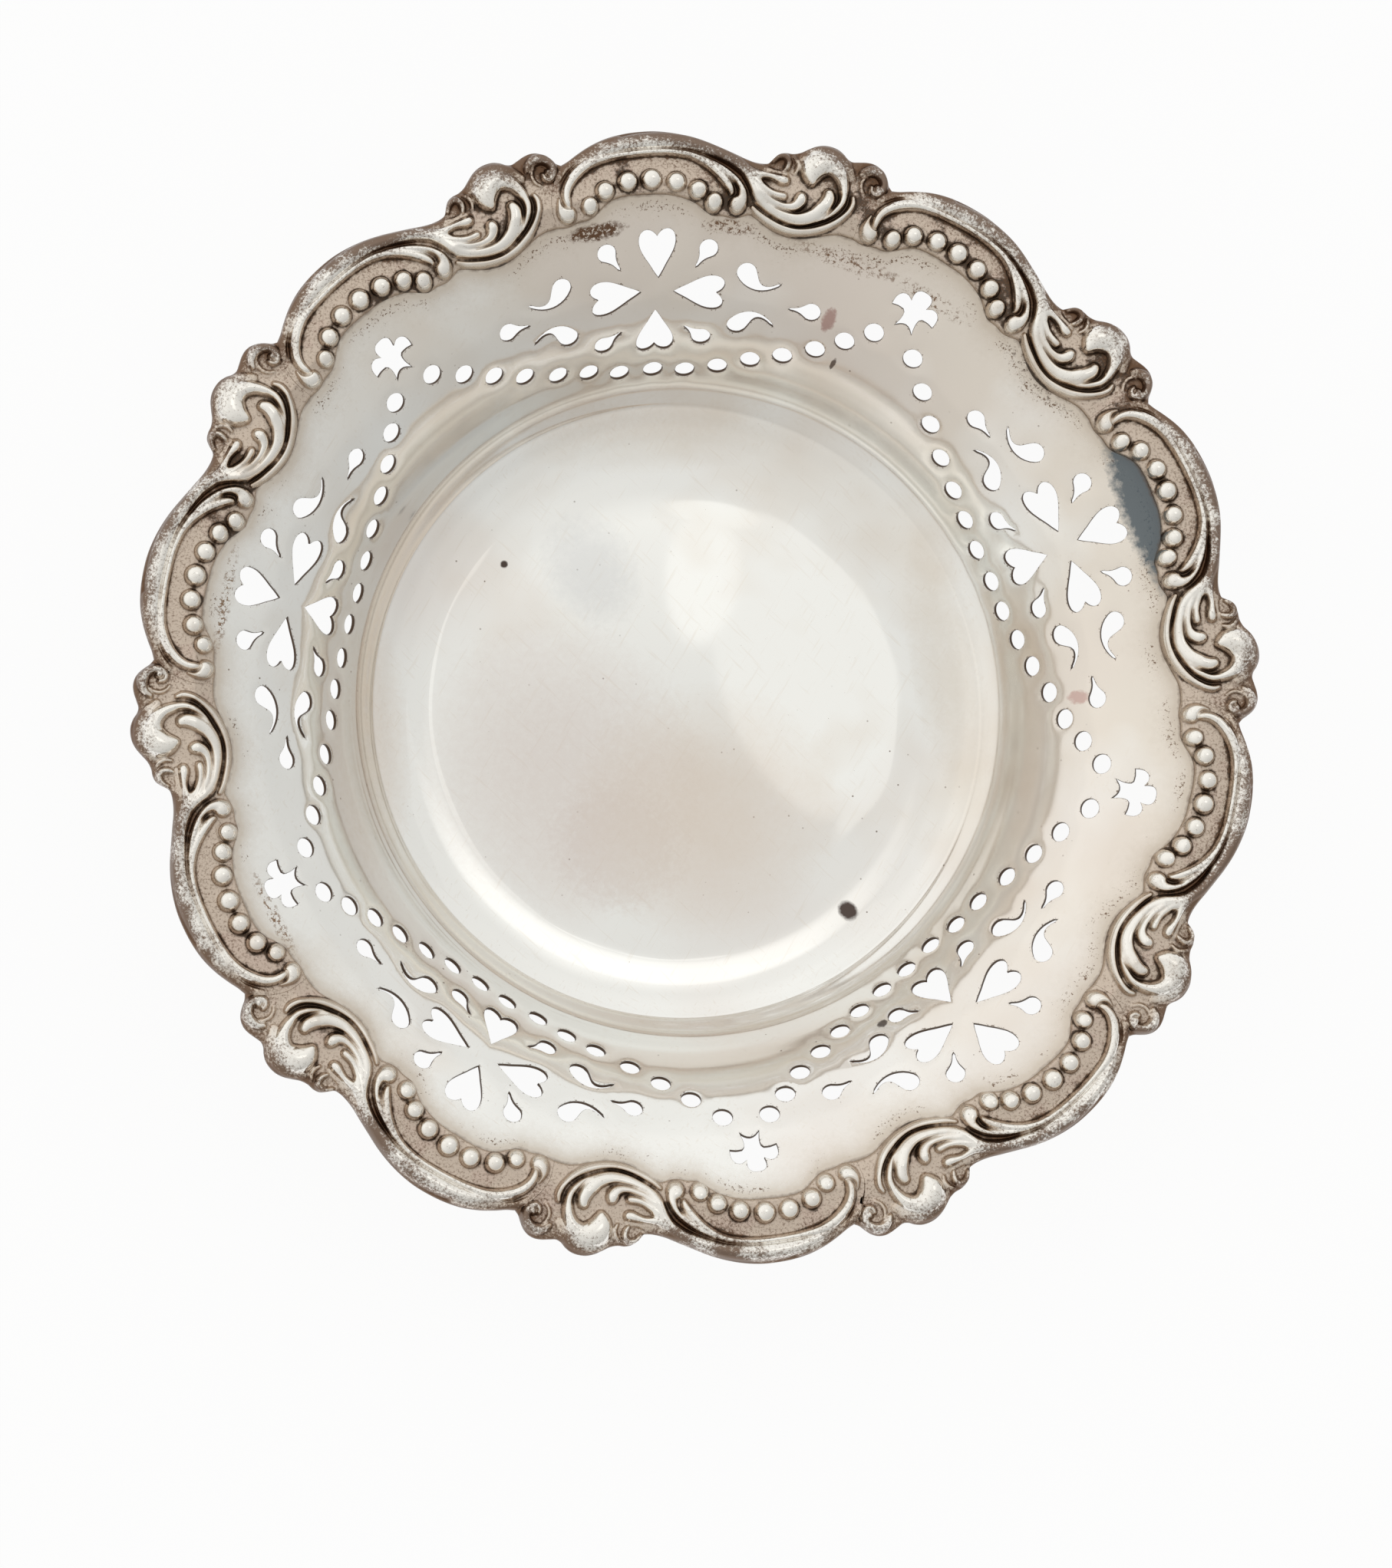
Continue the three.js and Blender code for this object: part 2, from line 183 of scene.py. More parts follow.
def make_piece(
    name: str,
    corners: Array,
    faces: Sequence[Array],
    shades: dict[str, Array],
    normals: Array | None = None,
) -> bpy.types.Object:
    """Puts worked-out corners and faces into a smooth-shaded mesh object at the origin.

    Args:
        name: the piece's name.
        corners: one row of x, y, z for each corner, in millimetres.
        faces: arrays of corner numbers, each array with faces of one number of sides.
        shades: values for each corner, by attribute name.
        normals: the shading normal of each corner, where the faces don't give it well enough.

    Returns:
        The new object, linked to the scene.
    """
    mesh = bpy.data.meshes.new(name)
    sides = np.concatenate([np.full(len(group), group.shape[1]) for group in faces])
    loops = np.concatenate([group.ravel() for group in faces])
    mesh.vertices.add(len(corners))
    mesh.vertices.foreach_set("co", (corners * MM).ravel())
    mesh.loops.add(len(loops))
    mesh.loops.foreach_set("vertex_index", loops)
    mesh.polygons.add(len(sides))
    mesh.polygons.foreach_set("loop_start", np.cumsum(sides) - sides)
    mesh.update(calc_edges=True)
    for shade, values in shades.items():
        attribute = mesh.attributes.new(shade, "FLOAT", "POINT")
        attribute.data.foreach_set("value", values)
    mesh.shade_smooth()
    if normals is not None:
        mesh.normals_split_custom_set_from_vertices(normals)
    return linked(name, mesh)


def add_node(
    tree: bpy.types.NodeTree, kind: str, inputs: dict | None = None, **settings: object
) -> bpy.types.NodeOutputs:
    """Adds a node with its settings and links.

    Args:
        tree: the material's or world's node tree.
        kind: Blender's name of the node's type.
        inputs: a value, or the output socket that feeds it, by the input's name or number.
        settings: the node's own settings.

    Returns:
        The new node's output sockets.
    """
    node = tree.nodes.new(kind)
    for key, value in settings.items():
        setattr(node, key, value)
    for key, value in (inputs or {}).items():
        if isinstance(value, bpy.types.NodeSocket):
            tree.links.new(value, node.inputs[key])
        else:
            node.inputs[key].default_value = value
    return node.outputs


def emptied(owner: bpy.types.Material | bpy.types.World) -> Adder:
    """Clears the nodes of a material or world.

    Args:
        owner: the material or world.

    Returns:
        add_node for its node tree.
    """
    owner.use_nodes = True
    owner.node_tree.nodes.clear()
    return partial(add_node, owner.node_tree)


def oval_spread(add: Adder, place: Socket, middle: Pair, turn: float, reach: Pair) -> Socket:
    """How far a point lies out in an oval: 0 at its middle, 1 on its outline, as a square.

    Args:
        add: adds a node to the tree.
        place: the point.
        middle: x and y of the oval's middle.
        turn: bearing of the oval's second axis, clockwise from +Y.
        reach: half of each axis of the oval.

    Returns:
        The output socket.
    """
    offset = add("ShaderNodeVectorMath", {0: place, 1: (*middle, 0)}, operation="SUBTRACT")[0]
    spread = 0.0
    for way, half in zip(((math.cos(turn), -math.sin(turn)), (math.sin(turn), math.cos(turn))), reach):
        share = add("ShaderNodeVectorMath", {0: offset, 1: (way[0] / half, way[1] / half, 0)},
                    operation="DOT_PRODUCT")["Value"]
        spread = add("ShaderNodeMath", {0: share, 1: share, 2: spread}, operation="MULTIPLY_ADD")[0]
    return spread


@dataclass
class RaisedSheet:
    """The upper face of the raised sheet: a line turned about the axis of the dish."""

    thickness: float = 0.6
    depth: float = 24.8
    floor_radius: float = 31.0
    flat_radius: float = 28.0
    flat_points: int = 8
    floor_rise: float = 0.03
    crease_radius: float = 42.0
    crease_height: float = 2.4
    crease_step: float = 0.45
    flange_start: float = 66.6
    flange_width: float = 2.8
    flange_drop: float = 1.2
    corner_blur: float = 0.14
    ring_height: float = 0.012
    ring_pitch: float = 2.7
    # Where the rings start and end, and how far they take to fade
    ring_span: tuple[float, float, float] = (32.0, 53.0, 5.0)
    step: float = 0.02
    cove_shares: Table = ((0.44, 0.14), (0.76, 0.5))
    wall_shares: Table = (
        (0.08, 0.085), (0.193, 0.283), (0.31, 0.465), (0.43, 0.613), (0.6, 0.762), (0.8, 0.893),
    )
    line: Array = field(init=False)

    def __post_init__(self) -> None:
        """Works the line out once."""
        self.line = self._upper_line()

    @property
    def flange_top(self) -> float:
        """Height of the flat flange that the border lies on."""
        return self.thickness + self.depth - self.flange_drop

    @property
    def flange_radius(self) -> float:
        """Radius of the flange's edge."""
        return self.flange_start + self.flange_width

    def _upper_line(self) -> Array:
        """The line's rows: length, radius, height, and the normal outwards and upwards.

        Heights follow radii by smooth curves inside and outside the crease, and the corners between
        them are rounded by a running mean. Planishing left faint rings: a low sine wave round the
        crease, which fades out at both ends of its span.

        Returns:
            The rows, from the middle of the dish outwards.
        """
        floor = self.thickness
        foot = (self.crease_radius - self.crease_step, floor + self.crease_height - self.crease_step)
        crease = (self.crease_radius, floor + self.crease_height)
        flange = (self.flange_start, self.flange_top)
        cove = [(self.floor_radius + a * (foot[0] - self.floor_radius), floor + b * (foot[1] - floor))
                for a, b in self.cove_shares]
        wall = [(crease[0] + a * (flange[0] - crease[0]), crease[1] + b * (flange[1] - crease[1]))
                for a, b in self.wall_shares]
        level = [(radius, floor) for radius in np.linspace(0, self.flat_radius, self.flat_points)]
        inside = np.array([*level, (self.floor_radius, floor + self.floor_rise), *cove, foot])
        outside = np.array([crease, *wall, flange])
        radii = np.arange(0, self.flange_radius + self.step, self.step)
        heights = np.full(len(radii), self.flange_top)
        low = radii <= foot[0]
        mid = (radii > foot[0]) & (radii < crease[0])
        high = (radii >= crease[0]) & (radii <= flange[0])
        heights[low] = smooth_through(inside[:, 0], inside[:, 1], radii[low])
        heights[mid] = np.interp(radii[mid], (foot[0], crease[0]), (foot[1], crease[1]))
        heights[high] = smooth_through(outside[:, 0], outside[:, 1], radii[high])
        reach = round(2 * self.corner_blur / self.step)
        weights = np.hanning(2 * reach + 1)
        padded = np.pad(heights, reach, mode="edge")
        heights = np.convolve(padded, weights / weights.sum(), mode="valid")
        first, last, fade = self.ring_span
        near = np.clip((radii - first) / fade, 0, 1) * np.clip((last - radii) / fade, 0, 1)
        heights += self.ring_height * near * np.sin(2 * np.pi * (radii - first) / self.ring_pitch)
        slopes = np.gradient(heights, radii)
        lengths = np.concatenate([[0.0], np.cumsum(np.hypot(np.diff(radii), np.diff(heights)))])
        size = np.hypot(1, slopes)
        return np.column_stack([lengths, radii, heights, -slopes / size, 1 / size])

    def length_at(self, radius: Array | float) -> Array:
        """Length along the line at a radius."""
        return np.interp(radius, self.line[:, 1], self.line[:, 0])

    def height_at(self, radius: Array | float) -> Array:
        """Height of the upper face at a radius."""
        return np.interp(radius, self.line[:, 1], self.line[:, 2])

    def radius_at(self, length: Array | float) -> Array:
        """Radius at a length along the line."""
        return np.interp(length, self.line[:, 0], self.line[:, 1])

    def point(self, turn: Array, length: Array, lift: Array | float) -> Array:
        """Points on the sheet.

        Args:
            turn: turn of each point.
            length: length along the line of each point.
            lift: distance above the upper face, square to it.

        Returns:
            One row of x, y, z for each point.
        """
        radius, height, out, up = (np.interp(length, self.line[:, 0], self.line[:, k]) for k in (1, 2, 3, 4))
        reach = radius + out * lift
        return np.column_stack([reach * np.sin(turn), reach * np.cos(turn), height + up * lift])


class PunchShape(Enum):
    """The punches that the wall is pierced with."""

    ROUND = "round"
    HEART = "heart"
    DROP = "drop"
    COMMA = "comma"
    TREFOIL = "trefoil"


@dataclass(frozen=True)
class Punch:
    """One pierced hole: its shape, its place, the way it leans and how its tail bends."""

    shape: PunchShape
    turn: float
    radius: float
    lean: float = 0.0
    bend: float = 0.0


@dataclass(frozen=True)
class PunchSet:
    """The outlines of the punches, flat, x clockwise and y up the wall. Each runs anticlockwise."""

    round_diameter: float = 2.66
    heart_length: float = 6.8
    heart_width: float = 5.0
    drop_bulb: float = 2.55
    drop_length: float = 4.4
    comma_bulb: float = 2.65
    comma_length: float = 6.3
    trefoil_height: float = 5.9
    trefoil_width: float = 6.4
    spacing: float = 0.42
    round_sides: int = 26
    bulb_angles: tuple[float, ...] = (180, 158, 136, 114, 92, 70)
    heart_shares: Table = (
        (0, 0), (0.17, 0.1), (0.42, 0.27), (0.72, 0.46), (0.94, 0.64), (1, 0.78), (0.9, 0.93),
        (0.66, 1), (0.38, 0.99), (0.14, 0.93), (0, 0.86),
    )
    trefoil_shares: tuple[Table, ...] = (
        ((0, 0.14), (0.16, 0.12), (0.3, 0.065), (0.42, 0)),
        ((0.42, 0), (0.36, 0.12), (0.33, 0.26), (0.36, 0.38), (0.45, 0.43)),
        ((0.45, 0.43), (0.7, 0.44), (0.98, 0.41)),
        ((0.98, 0.41), (1, 0.52), (0.96, 0.66), (0.82, 0.75), (0.62, 0.77), (0.44, 0.72), (0.36, 0.69)),
        ((0.36, 0.69), (0.4, 0.8), (0.36, 0.93), (0.2, 1), (0, 1.01)),
    )
    tail_shares: Table = ((0.36, 0.56), (0.52, 0.34), (0.7, 0.2), (0.88, 0.14), (0.97, 0.11), (1, 0))

    def outline(self, punch: Punch) -> Array:
        """The outline of a punch in its own place, turned by its lean.

        Args:
            punch: the hole to draw.

        Returns:
            One row of x, y for each corner.
        """
        if punch.shape is PunchShape.ROUND:
            drawn = self._round()
        elif punch.shape is PunchShape.HEART:
            drawn = self._mirrored((self.heart_shares,), self.heart_width, self.heart_length)
        elif punch.shape is PunchShape.TREFOIL:
            drawn = self._mirrored(self.trefoil_shares, self.trefoil_width, self.trefoil_height)
        elif punch.shape is PunchShape.DROP:
            drawn = self._drop(self.drop_bulb, self.drop_length, punch.bend)
        else:
            drawn = self._drop(self.comma_bulb, self.comma_length, punch.bend)
        cosine, sine = math.cos(punch.lean), math.sin(punch.lean)
        return drawn @ np.array([(cosine, sine), (-sine, cosine)])

    def _round(self) -> Array:
        """A circle."""
        angles = np.linspace(0, 2 * np.pi, self.round_sides, endpoint=False)
        return np.column_stack([np.cos(angles), np.sin(angles)]) * self.round_diameter / 2

    def _mirrored(self, stretches: Sequence[Table], width: float, length: float) -> Array:
        """A form whose right half runs from its foot to its head, mirrored to the left and centred.

        Args:
            stretches: smooth stretches of the right half, as shares of the width and the length.
            width: width of the whole form.
            length: length of the form.

        Returns:
            One row of x, y for each corner.
        """
        scale = np.array([width / 2, length])
        lines = [drawn_line(np.array(stretch) * scale, self.spacing) for stretch in stretches]
        right = np.concatenate([line[:-1] for line in lines] + [lines[-1][-1:]])
        left = right[-2:0:-1] * (-1, 1)
        return np.concatenate([right, left]) - (0, length / 2)

    def _drop(self, bulb: float, length: float, bend: float) -> Array:
        """A round bulb at the origin with a tail that narrows along an arched line.

        The half width is a circle's round the bulb and a smooth curve along the tail. The tail's
        middle line rises by bend * reach * k * (1 - k) at the share k of its reach.

        Args:
            bulb: diameter of the bulb.
            length: length from the bulb's back to the tail's tip.
            bend: how far the tail is arched.

        Returns:
            One row of x, y for each corner.
        """
        radius = bulb / 2
        reach = length - radius
        angles = np.radians(self.bulb_angles)
        side = [(radius * math.cos(angle), radius * math.sin(angle)) for angle in angles]
        side += [(share * reach, half * radius) for share, half in self.tail_shares]
        upper = drawn_line(side, self.spacing)[::-1]
        lower = upper[-2:0:-1] * (1, -1)
        x, y = np.concatenate([upper, lower]).T
        share = np.clip(x / reach, 0, 1)
        slope = bend * (1 - 2 * share)
        size = np.hypot(1, slope)
        start = np.minimum(x, 0)
        middle_x = share * reach + start / size
        middle_y = bend * reach * share * (1 - share) + start * slope / size
        return np.column_stack([middle_x - y * slope / size, middle_y + y / size])


@dataclass(frozen=True)
class Garland:
    """The holes of one of the five garlands, placed from the middle of its four hearts."""

    count: int = 5
    first_turn: float = math.radians(-5.35)
    off_centre: Pair = (-0.38, -0.3)
    radius_shift: float = -0.13
    heart_tip_gap: float = 2.1
    heart_lift: float = 0.5
    hand_error: float = 0.09
    lean_error: float = 0.05
    hand_seed: int = 7
    round_shares: Table = (
        (-0.476, 1.015), (-0.42, 0.97), (-0.363, 0.931), (-0.297, 0.9), (-0.221, 0.876),
        (-0.151, 0.862), (-0.077, 0.851), (0.003, 0.85), (0.078, 0.851), (0.152, 0.862),
        (0.219, 0.883), (0.283, 0.908), (0.343, 0.938), (0.39, 0.979), (0.434, 1.022),
    )
    drop_shares: Table = (
        (-0.091, 1.104, -1.05), (0.091, 1.104, -2.1), (-0.112, 0.911, 0.62),
        (0.1, 0.917, 2.5), (-0.304, 1.003, -0.12), (0.305, 1.008, -2.95),
    )
    comma_shares: Table = (
        (-0.184, 1.052, -3.02, 1.25), (0.166, 1.062, -0.12, -1.25),
        (-0.188, 0.944, 3.0, -1.25), (0.168, 0.947, 0.14, 1.25),
    )
    trefoil_share: Pair = (0.479, 1.103)

    def punches(self, sheet: RaisedSheet, shapes: PunchSet) -> list[Punch]:
        """All the holes of the wall.

        Args:
            sheet: the sheet that they are punched in.
            shapes: the punches.

        Returns:
            One entry for each hole, each a little off its place as hand-fed work is.
        """
        middle = (sheet.crease_radius + sheet.flange_start) / 2
        angle = 2 * math.pi / self.count
        slope = sheet.length_at(middle + 1) - sheet.length_at(middle)
        reach = self.heart_tip_gap + shapes.heart_length / 2
        random = np.random.default_rng(self.hand_seed)
        found = []
        for index in range(self.count):
            turn = self.first_turn + index * angle
            for quarter in range(4):
                lean = quarter * math.pi / 2
                out = middle + reach * math.cos(lean) / slope + self.heart_lift
                found.append(Punch(PunchShape.HEART, turn - reach * math.sin(lean) / middle, out, lean))
            found += [Punch(PunchShape.ROUND, turn + a * angle, r * middle) for a, r in self.round_shares]
            found += [Punch(PunchShape.DROP, turn + a * angle, r * middle, lean)
                      for a, r, lean in self.drop_shares]
            found += [Punch(PunchShape.COMMA, turn + a * angle, r * middle, lean, bend)
                      for a, r, lean, bend in self.comma_shares]
            a, r = self.trefoil_share
            found.append(Punch(PunchShape.TREFOIL, turn + a * angle, r * middle))
        return [self._by_hand(punch, error, middle)
                for punch, error in zip(found, random.uniform(-1, 1, (len(found), 3)))]

    def _by_hand(self, punch: Punch, error: Array, middle: float) -> Punch:
        """Moves a hole to where hand-fed work puts it.

        The whole garland sits off the middle of the dish: a shift (x, y) moves a hole at the turn t
        outwards by x sin t + y cos t, and round by x cos t - y sin t. Each hole then strays a little.

        Args:
            punch: the hole in its regular place.
            error: how far it strays round, outwards and in its lean, each from -1 to 1.
            middle: the radius that the errors round the dish are measured at.

        Returns:
            The hole in its own place.
        """
        x, y = self.off_centre
        sine, cosine = math.sin(punch.turn), math.cos(punch.turn)
        outwards = x * sine + y * cosine + self.radius_shift + error[1] * self.hand_error
        turned = (x * cosine - y * sine) / punch.radius + error[0] * self.hand_error / middle
        return Punch(punch.shape, punch.turn + turned, punch.radius + outwards,
                     punch.lean + error[2] * self.lean_error, punch.bend)


@dataclass
class PiercedBowl:
    """The bowl: a raised sheet, its wall pierced, with soft dents and drawn-in hole edges."""

    sheet: RaisedSheet
    border_edge: Callable[[Array], Array]
    shapes: PunchSet = field(default_factory=PunchSet)
    garland: Garland = field(default_factory=Garland)
    columns: int = 360
    pierced_from: float = 44.6
    pierced_to: float = 65.0
    grid_step: float = 1.0
    lip: float = 0.08
    rings: tuple[float, ...] = (0.34, 0.8)
    clear: float = 0.62
    follower_room: float = 0.9
    far: float = 4.0
    # Broad dents and fine ripples, which grow from a small share on the floor to full height
    dent_height: float = 0.05
    dent_length: float = 46.0
    ripple_height: float = 0.012
    ripple_length: float = 15.0
    dent_start: float = 26.0
    dent_fade: float = 14.0
    floor_share: float = 0.05
    dip_depth: float = 0.07
    dip_reach: float = 0.75
    inner_radii: Table = ((0.4, 30.5, 15), (31.5, 40.9, 14), (41.15, 42.6, 9), (43.1, 44.6, 3))
    outer_radii: Table = ((65.5, 69.35, 6),)
    band_reach: float = 1.7
    lip_reach: float = 0.4
    outlines: list[Array] = field(init=False)
    flat: list[Array] = field(init=False)

    def __post_init__(self) -> None:
        """Draws the holes on the wall: turn and length of each corner, and the same wall laid flat."""
        self.outlines = []
        for punch in self.garland.punches(self.sheet, self.shapes):
            x, y = self.shapes.outline(punch).T
            length = self.sheet.length_at(punch.radius) + y
            self.outlines.append(np.column_stack([punch.turn + x / self.sheet.radius_at(length), length]))
        self.flat = [self._laid_flat(outline) for outline in self.outlines]

    @staticmethod
    def _laid_flat(places: Array) -> Array:
        """Turns and lengths as points of a plane: the length is the distance from its middle."""
        turn, length = places.T
        return np.column_stack([length * np.sin(turn), length * np.cos(turn)])

    @staticmethod
    def _grown(outline: Array, distance: float) -> Array:
        """Moves an outline outwards, each corner square to the chord between its neighbours.

        Args:
            outline: flat corners, anticlockwise.
            distance: how far they move.

        Returns:
            The moved corners.
        """
        chord = np.roll(outline, -1, axis=0) - np.roll(outline, 1, axis=0)
        chord /= np.linalg.norm(chord, axis=1, keepdims=True)
        return outline + distance * np.column_stack([chord[:, 1], -chord[:, 0]])

    def _clearance(self, points: Array) -> Array:
        """Distance from each flat point to the nearest hole, negative inside one.

        It is the least distance to an outline's sides, with its sign from how often a level ray
        from the point crosses them. Points that are far from every hole get the far value.

        Args:
            points: one row of x, y for each flat point.

        Returns:
            The distance of each point.
        """
        nearest = np.full(len(points), self.far)
        for outline in self.flat:
            centre = outline.mean(axis=0)
            size = np.linalg.norm(outline - centre, axis=1).max() + self.far
            near = np.flatnonzero(np.linalg.norm(points - centre, axis=1) < size)
            start, end = outline, np.roll(outline, -1, axis=0)
            side = end - start
            offset = points[near, None, :] - start[None]
            share = np.clip((offset * side).sum(axis=2) / (side**2).sum(axis=1), 0, 1)
            distance = np.linalg.norm(offset - share[..., None] * side, axis=2).min(axis=1)
            above = points[near, None, 1] > start[None, :, 1]
            crosses = above != (points[near, None, 1] > end[None, :, 1])
            height = np.where(np.abs(side[:, 1]) < 1e-12, 1e-12, side[:, 1])
            meets = start[:, 0] + (points[near, None, 1] - start[:, 1]) / height * side[:, 0]
            inside = (crosses & (points[near, None, 0] < meets)).sum(axis=1) % 2 == 1
            nearest[near] = np.minimum(nearest[near], np.where(inside, -distance, distance))
        return nearest

    def _lift(self, turn: Array, length: Array) -> Array:
        """How far the upper face stands off its turned form.

        Broad dents and fine ripples are faint on the floor and grow evenly with the radius to their
        full height, and the face dips round each hole by a depth that falls off as the exponential
        of the distance.

        Args:
            turn: turn of each point.
            length: length along the sheet's line of each point.

        Returns:
            The height of each point above the turned form.
        """
        radius = self.sheet.radius_at(length)
        x, y = radius * np.sin(turn), radius * np.cos(turn)
        dents = self.dent_height * swell(x, y, self.dent_length, seed=3)
        dents = dents + self.ripple_height * swell(x, y, self.ripple_length, seed=4)
        dents *= np.clip((radius - self.dent_start) / self.dent_fade, self.floor_share, 1)
        gap = np.maximum(self._clearance(self._laid_flat(np.column_stack([turn, length]))), 0)
        return dents - self.dip_depth * np.exp(-gap / self.dip_reach)

    def _upper(self, turn: Array, length: Array) -> Array:
        """Points of the upper face."""
        return self.sheet.point(turn, length, self._lift(turn, length))

    def _normals(self, turn: Array, length: Array) -> Array:
        """Normals of the upper face: the cross product of its two slopes, from points on each side.

        Args:
            turn: turn of each point.
            length: length along the sheet's line of each point.

        Returns:
            One row of x, y, z for each point.
        """
        step = 0.04
        sideways = step / np.maximum(self.sheet.radius_at(length), 1)
        along = self._upper(turn + sideways, length) - self._upper(turn - sideways, length)
        outwards = self._upper(turn, length + step) - self._upper(turn, np.maximum(length - step, 0))
        normals = np.cross(along, outwards)
        size = np.linalg.norm(normals, axis=1, keepdims=True)
        return np.where(size > 1e-9, normals / np.maximum(size, 1e-9), (0, 0, 1))

    def _ring(self, radius: float) -> Array:
        """Turns and lengths of one full ring of corners."""
        turns = np.linspace(0, 2 * np.pi, self.columns, endpoint=False)
        return np.column_stack([turns, np.full(self.columns, self.sheet.length_at(radius))])

    def _pierced_zone(self, inner: Array, outer: Array) -> tuple[Array, Array]:
        """Corners and triangles of the pierced zone, laid flat.

        The lips of the holes and the two bounding rings are kept as edges, rings of corners follow
        each lip, an even grid fills the rest, and all is joined by a constrained triangulation.

        Args:
            inner: flat corners of the ring inside the zone.
            outer: flat corners of the ring outside the zone.

        Returns:
            Flat corners, which begin with the inner ring, the outer ring and the lips in order, and
            the triangles between them.
        """
        lips = [self._grown(outline, self.lip) for outline in self.flat]
        bounds = [inner, outer, *lips]
        fixed = np.concatenate(bounds)
        edges = []
        base = 0
        for bound in bounds:
            numbers = base + np.arange(len(bound))
            edges += np.column_stack([numbers, np.roll(numbers, -1)]).tolist()
            base += len(bound)
        followers = [np.empty((0, 2))]
        for distance in self.rings:
            ring = np.concatenate([self._grown(outline, self.lip + distance) for outline in self.flat])
            followers.append(ring[self._clearance(ring) > self.follower_room * (self.lip + distance)])
        low, high = np.linalg.norm(inner[0]), np.linalg.norm(outer[0])
        rows = np.linspace(low, high, round((high - low) / self.grid_step) + 1)[1:-1]
        turns = np.arange(self.columns) * 2 * np.pi / self.columns
        grid = np.concatenate([
            row * np.column_stack([np.sin(turns + shift), np.cos(turns + shift)])
            for row, shift in zip(rows, np.resize((math.pi / self.columns, 0), len(rows)))
        ])
        grid = grid[self._clearance(grid) > self.rings[-1] + self.clear]
        points = np.concatenate([fixed, *followers, grid])
        made = delaunay_2d_cdt([Vector(p) for p in points.tolist()], edges, [], 0, 1e-7)
        corners = np.array([(v.x, v.y) for v in made[0]])
        source = np.array([origins[0] if origins else -1 for origins in made[3]])
        order = np.argsort(np.where(source < 0, len(points), source), kind="stable")
        place = np.empty(len(order), dtype=int)
        place[order] = np.arange(len(order))
        triangles = place[np.array([face for face in made[2] if len(face) == 3])]
        corners = corners[order]
        middles = corners[triangles].mean(axis=1)
        inside = np.linalg.norm(middles, axis=1) > low * math.cos(math.pi / self.columns)
        return corners, triangles[inside & (self._clearance(middles) > self.lip / 4)]

    def build(self) -> bpy.types.Object:
        """Makes the bowl's mesh.

        The upper face is turned rings round the pierced zone, the lower face is the same net one
        thickness below, and walls close the holes and the flange's edge.

        Returns:
            The bowl.
        """
        radii_in = np.concatenate([np.linspace(a, b, int(n)) for a, b, n in self.inner_radii])
        radii_out = np.concatenate([np.linspace(a, b, int(n)) for a, b, n in self.outer_radii])
        rings_in = [self._ring(radius) for radius in radii_in]
        rings_out = [self._ring(radius) for radius in (self.pierced_to, *radii_out)]
        count = self.columns
        zone, triangles = self._pierced_zone(self._laid_flat(rings_in[-1]), self._laid_flat(rings_out[0]))
        free = zone[2 * count :]
        free_places = np.column_stack([np.arctan2(free[:, 0], free[:, 1]), np.linalg.norm(free, axis=1)])
        places = np.concatenate([[(0.0, 0.0)], *rings_in, *rings_out, free_places])
        first_out = 1 + count * len(rings_in)
        first_free = first_out + count * len(rings_out)
        names = np.concatenate([
            np.arange(first_out - count, first_out),
            np.arange(first_out, first_out + count),
            np.arange(first_free, first_free + len(free)),
        ])
        column = np.arange(count)
        following = (column + 1) % count
        starts = [1 + count * k for k in range(len(rings_in) - 1)]
        starts += [first_out + count * k for k in range(len(rings_out) - 1)]
        quads = np.concatenate([
            np.column_stack([s + column, s + following, s + count + following, s + count + column])
            for s in starts
        ])
        fan = np.column_stack([np.zeros(count, dtype=int), 1 + following, 1 + column])
        upper_triangles = np.concatenate([fan, names[triangles]])
        turn, length = places.T
        total = len(places)
        upper = self._upper(turn, length)
        lower = self.sheet.point(turn, length, -self.sheet.thickness)
        lower[:, 2] = np.maximum(lower[:, 2], 0)
        upper_normals = self._normals(turn, length)
        lower_normals = -upper_normals

        corners, normals = [upper, lower], [upper_normals, lower_normals]
        cut = [np.zeros(2 * total)]
        walls = []
        lip_first, wall_first = first_free, 2 * total
        for outline in self.outlines:
            size = len(outline)
            here, after = np.arange(size), np.roll(np.arange(size), -1)
            top = self._upper(*outline.T)
            bottom = self.sheet.point(outline[:, 0], outline[:, 1], -self.sheet.thickness)
            down = (bottom - top) / np.linalg.norm(bottom - top, axis=1, keepdims=True)
            corners += [top + down * self.lip, bottom - down * self.lip]
            inwards = top - upper[lip_first + here]
            inwards /= np.linalg.norm(inwards, axis=1, keepdims=True)
            normals += [inwards, inwards]
            cut.append(np.ones(2 * size))
            rows = [lip_first + here, wall_first + here, wall_first + size + here, total + lip_first + here]
            for above, below in zip(rows[:-1], rows[1:]):
                walls.append(np.column_stack([above, above[after], below[after], below]))
            lip_first += size
            wall_first += 2 * size
        edge = first_out + count * (len(rings_out) - 1) + column
        edge_after = first_out + count * (len(rings_out) - 1) + following
        walls.append(np.column_stack([edge, edge_after, total + edge_after, total + edge]))
        faces = [
            np.concatenate([quads, total + quads[:, ::-1], *walls]),
            np.concatenate([upper_triangles, total + upper_triangles[:, ::-1]]),
        ]
        points = np.concatenate(corners)
        lip = np.zeros(len(points))
        lip[:total] = np.exp(-np.maximum(self._clearance(self._laid_flat(places)), 0) / self.lip_reach)
        return make_piece(
            "pierced_bowl", points, faces,
            {"cut": np.concatenate(cut), "solder": self._solder_band(points), "lip": lip},
            np.concatenate(normals),
        )

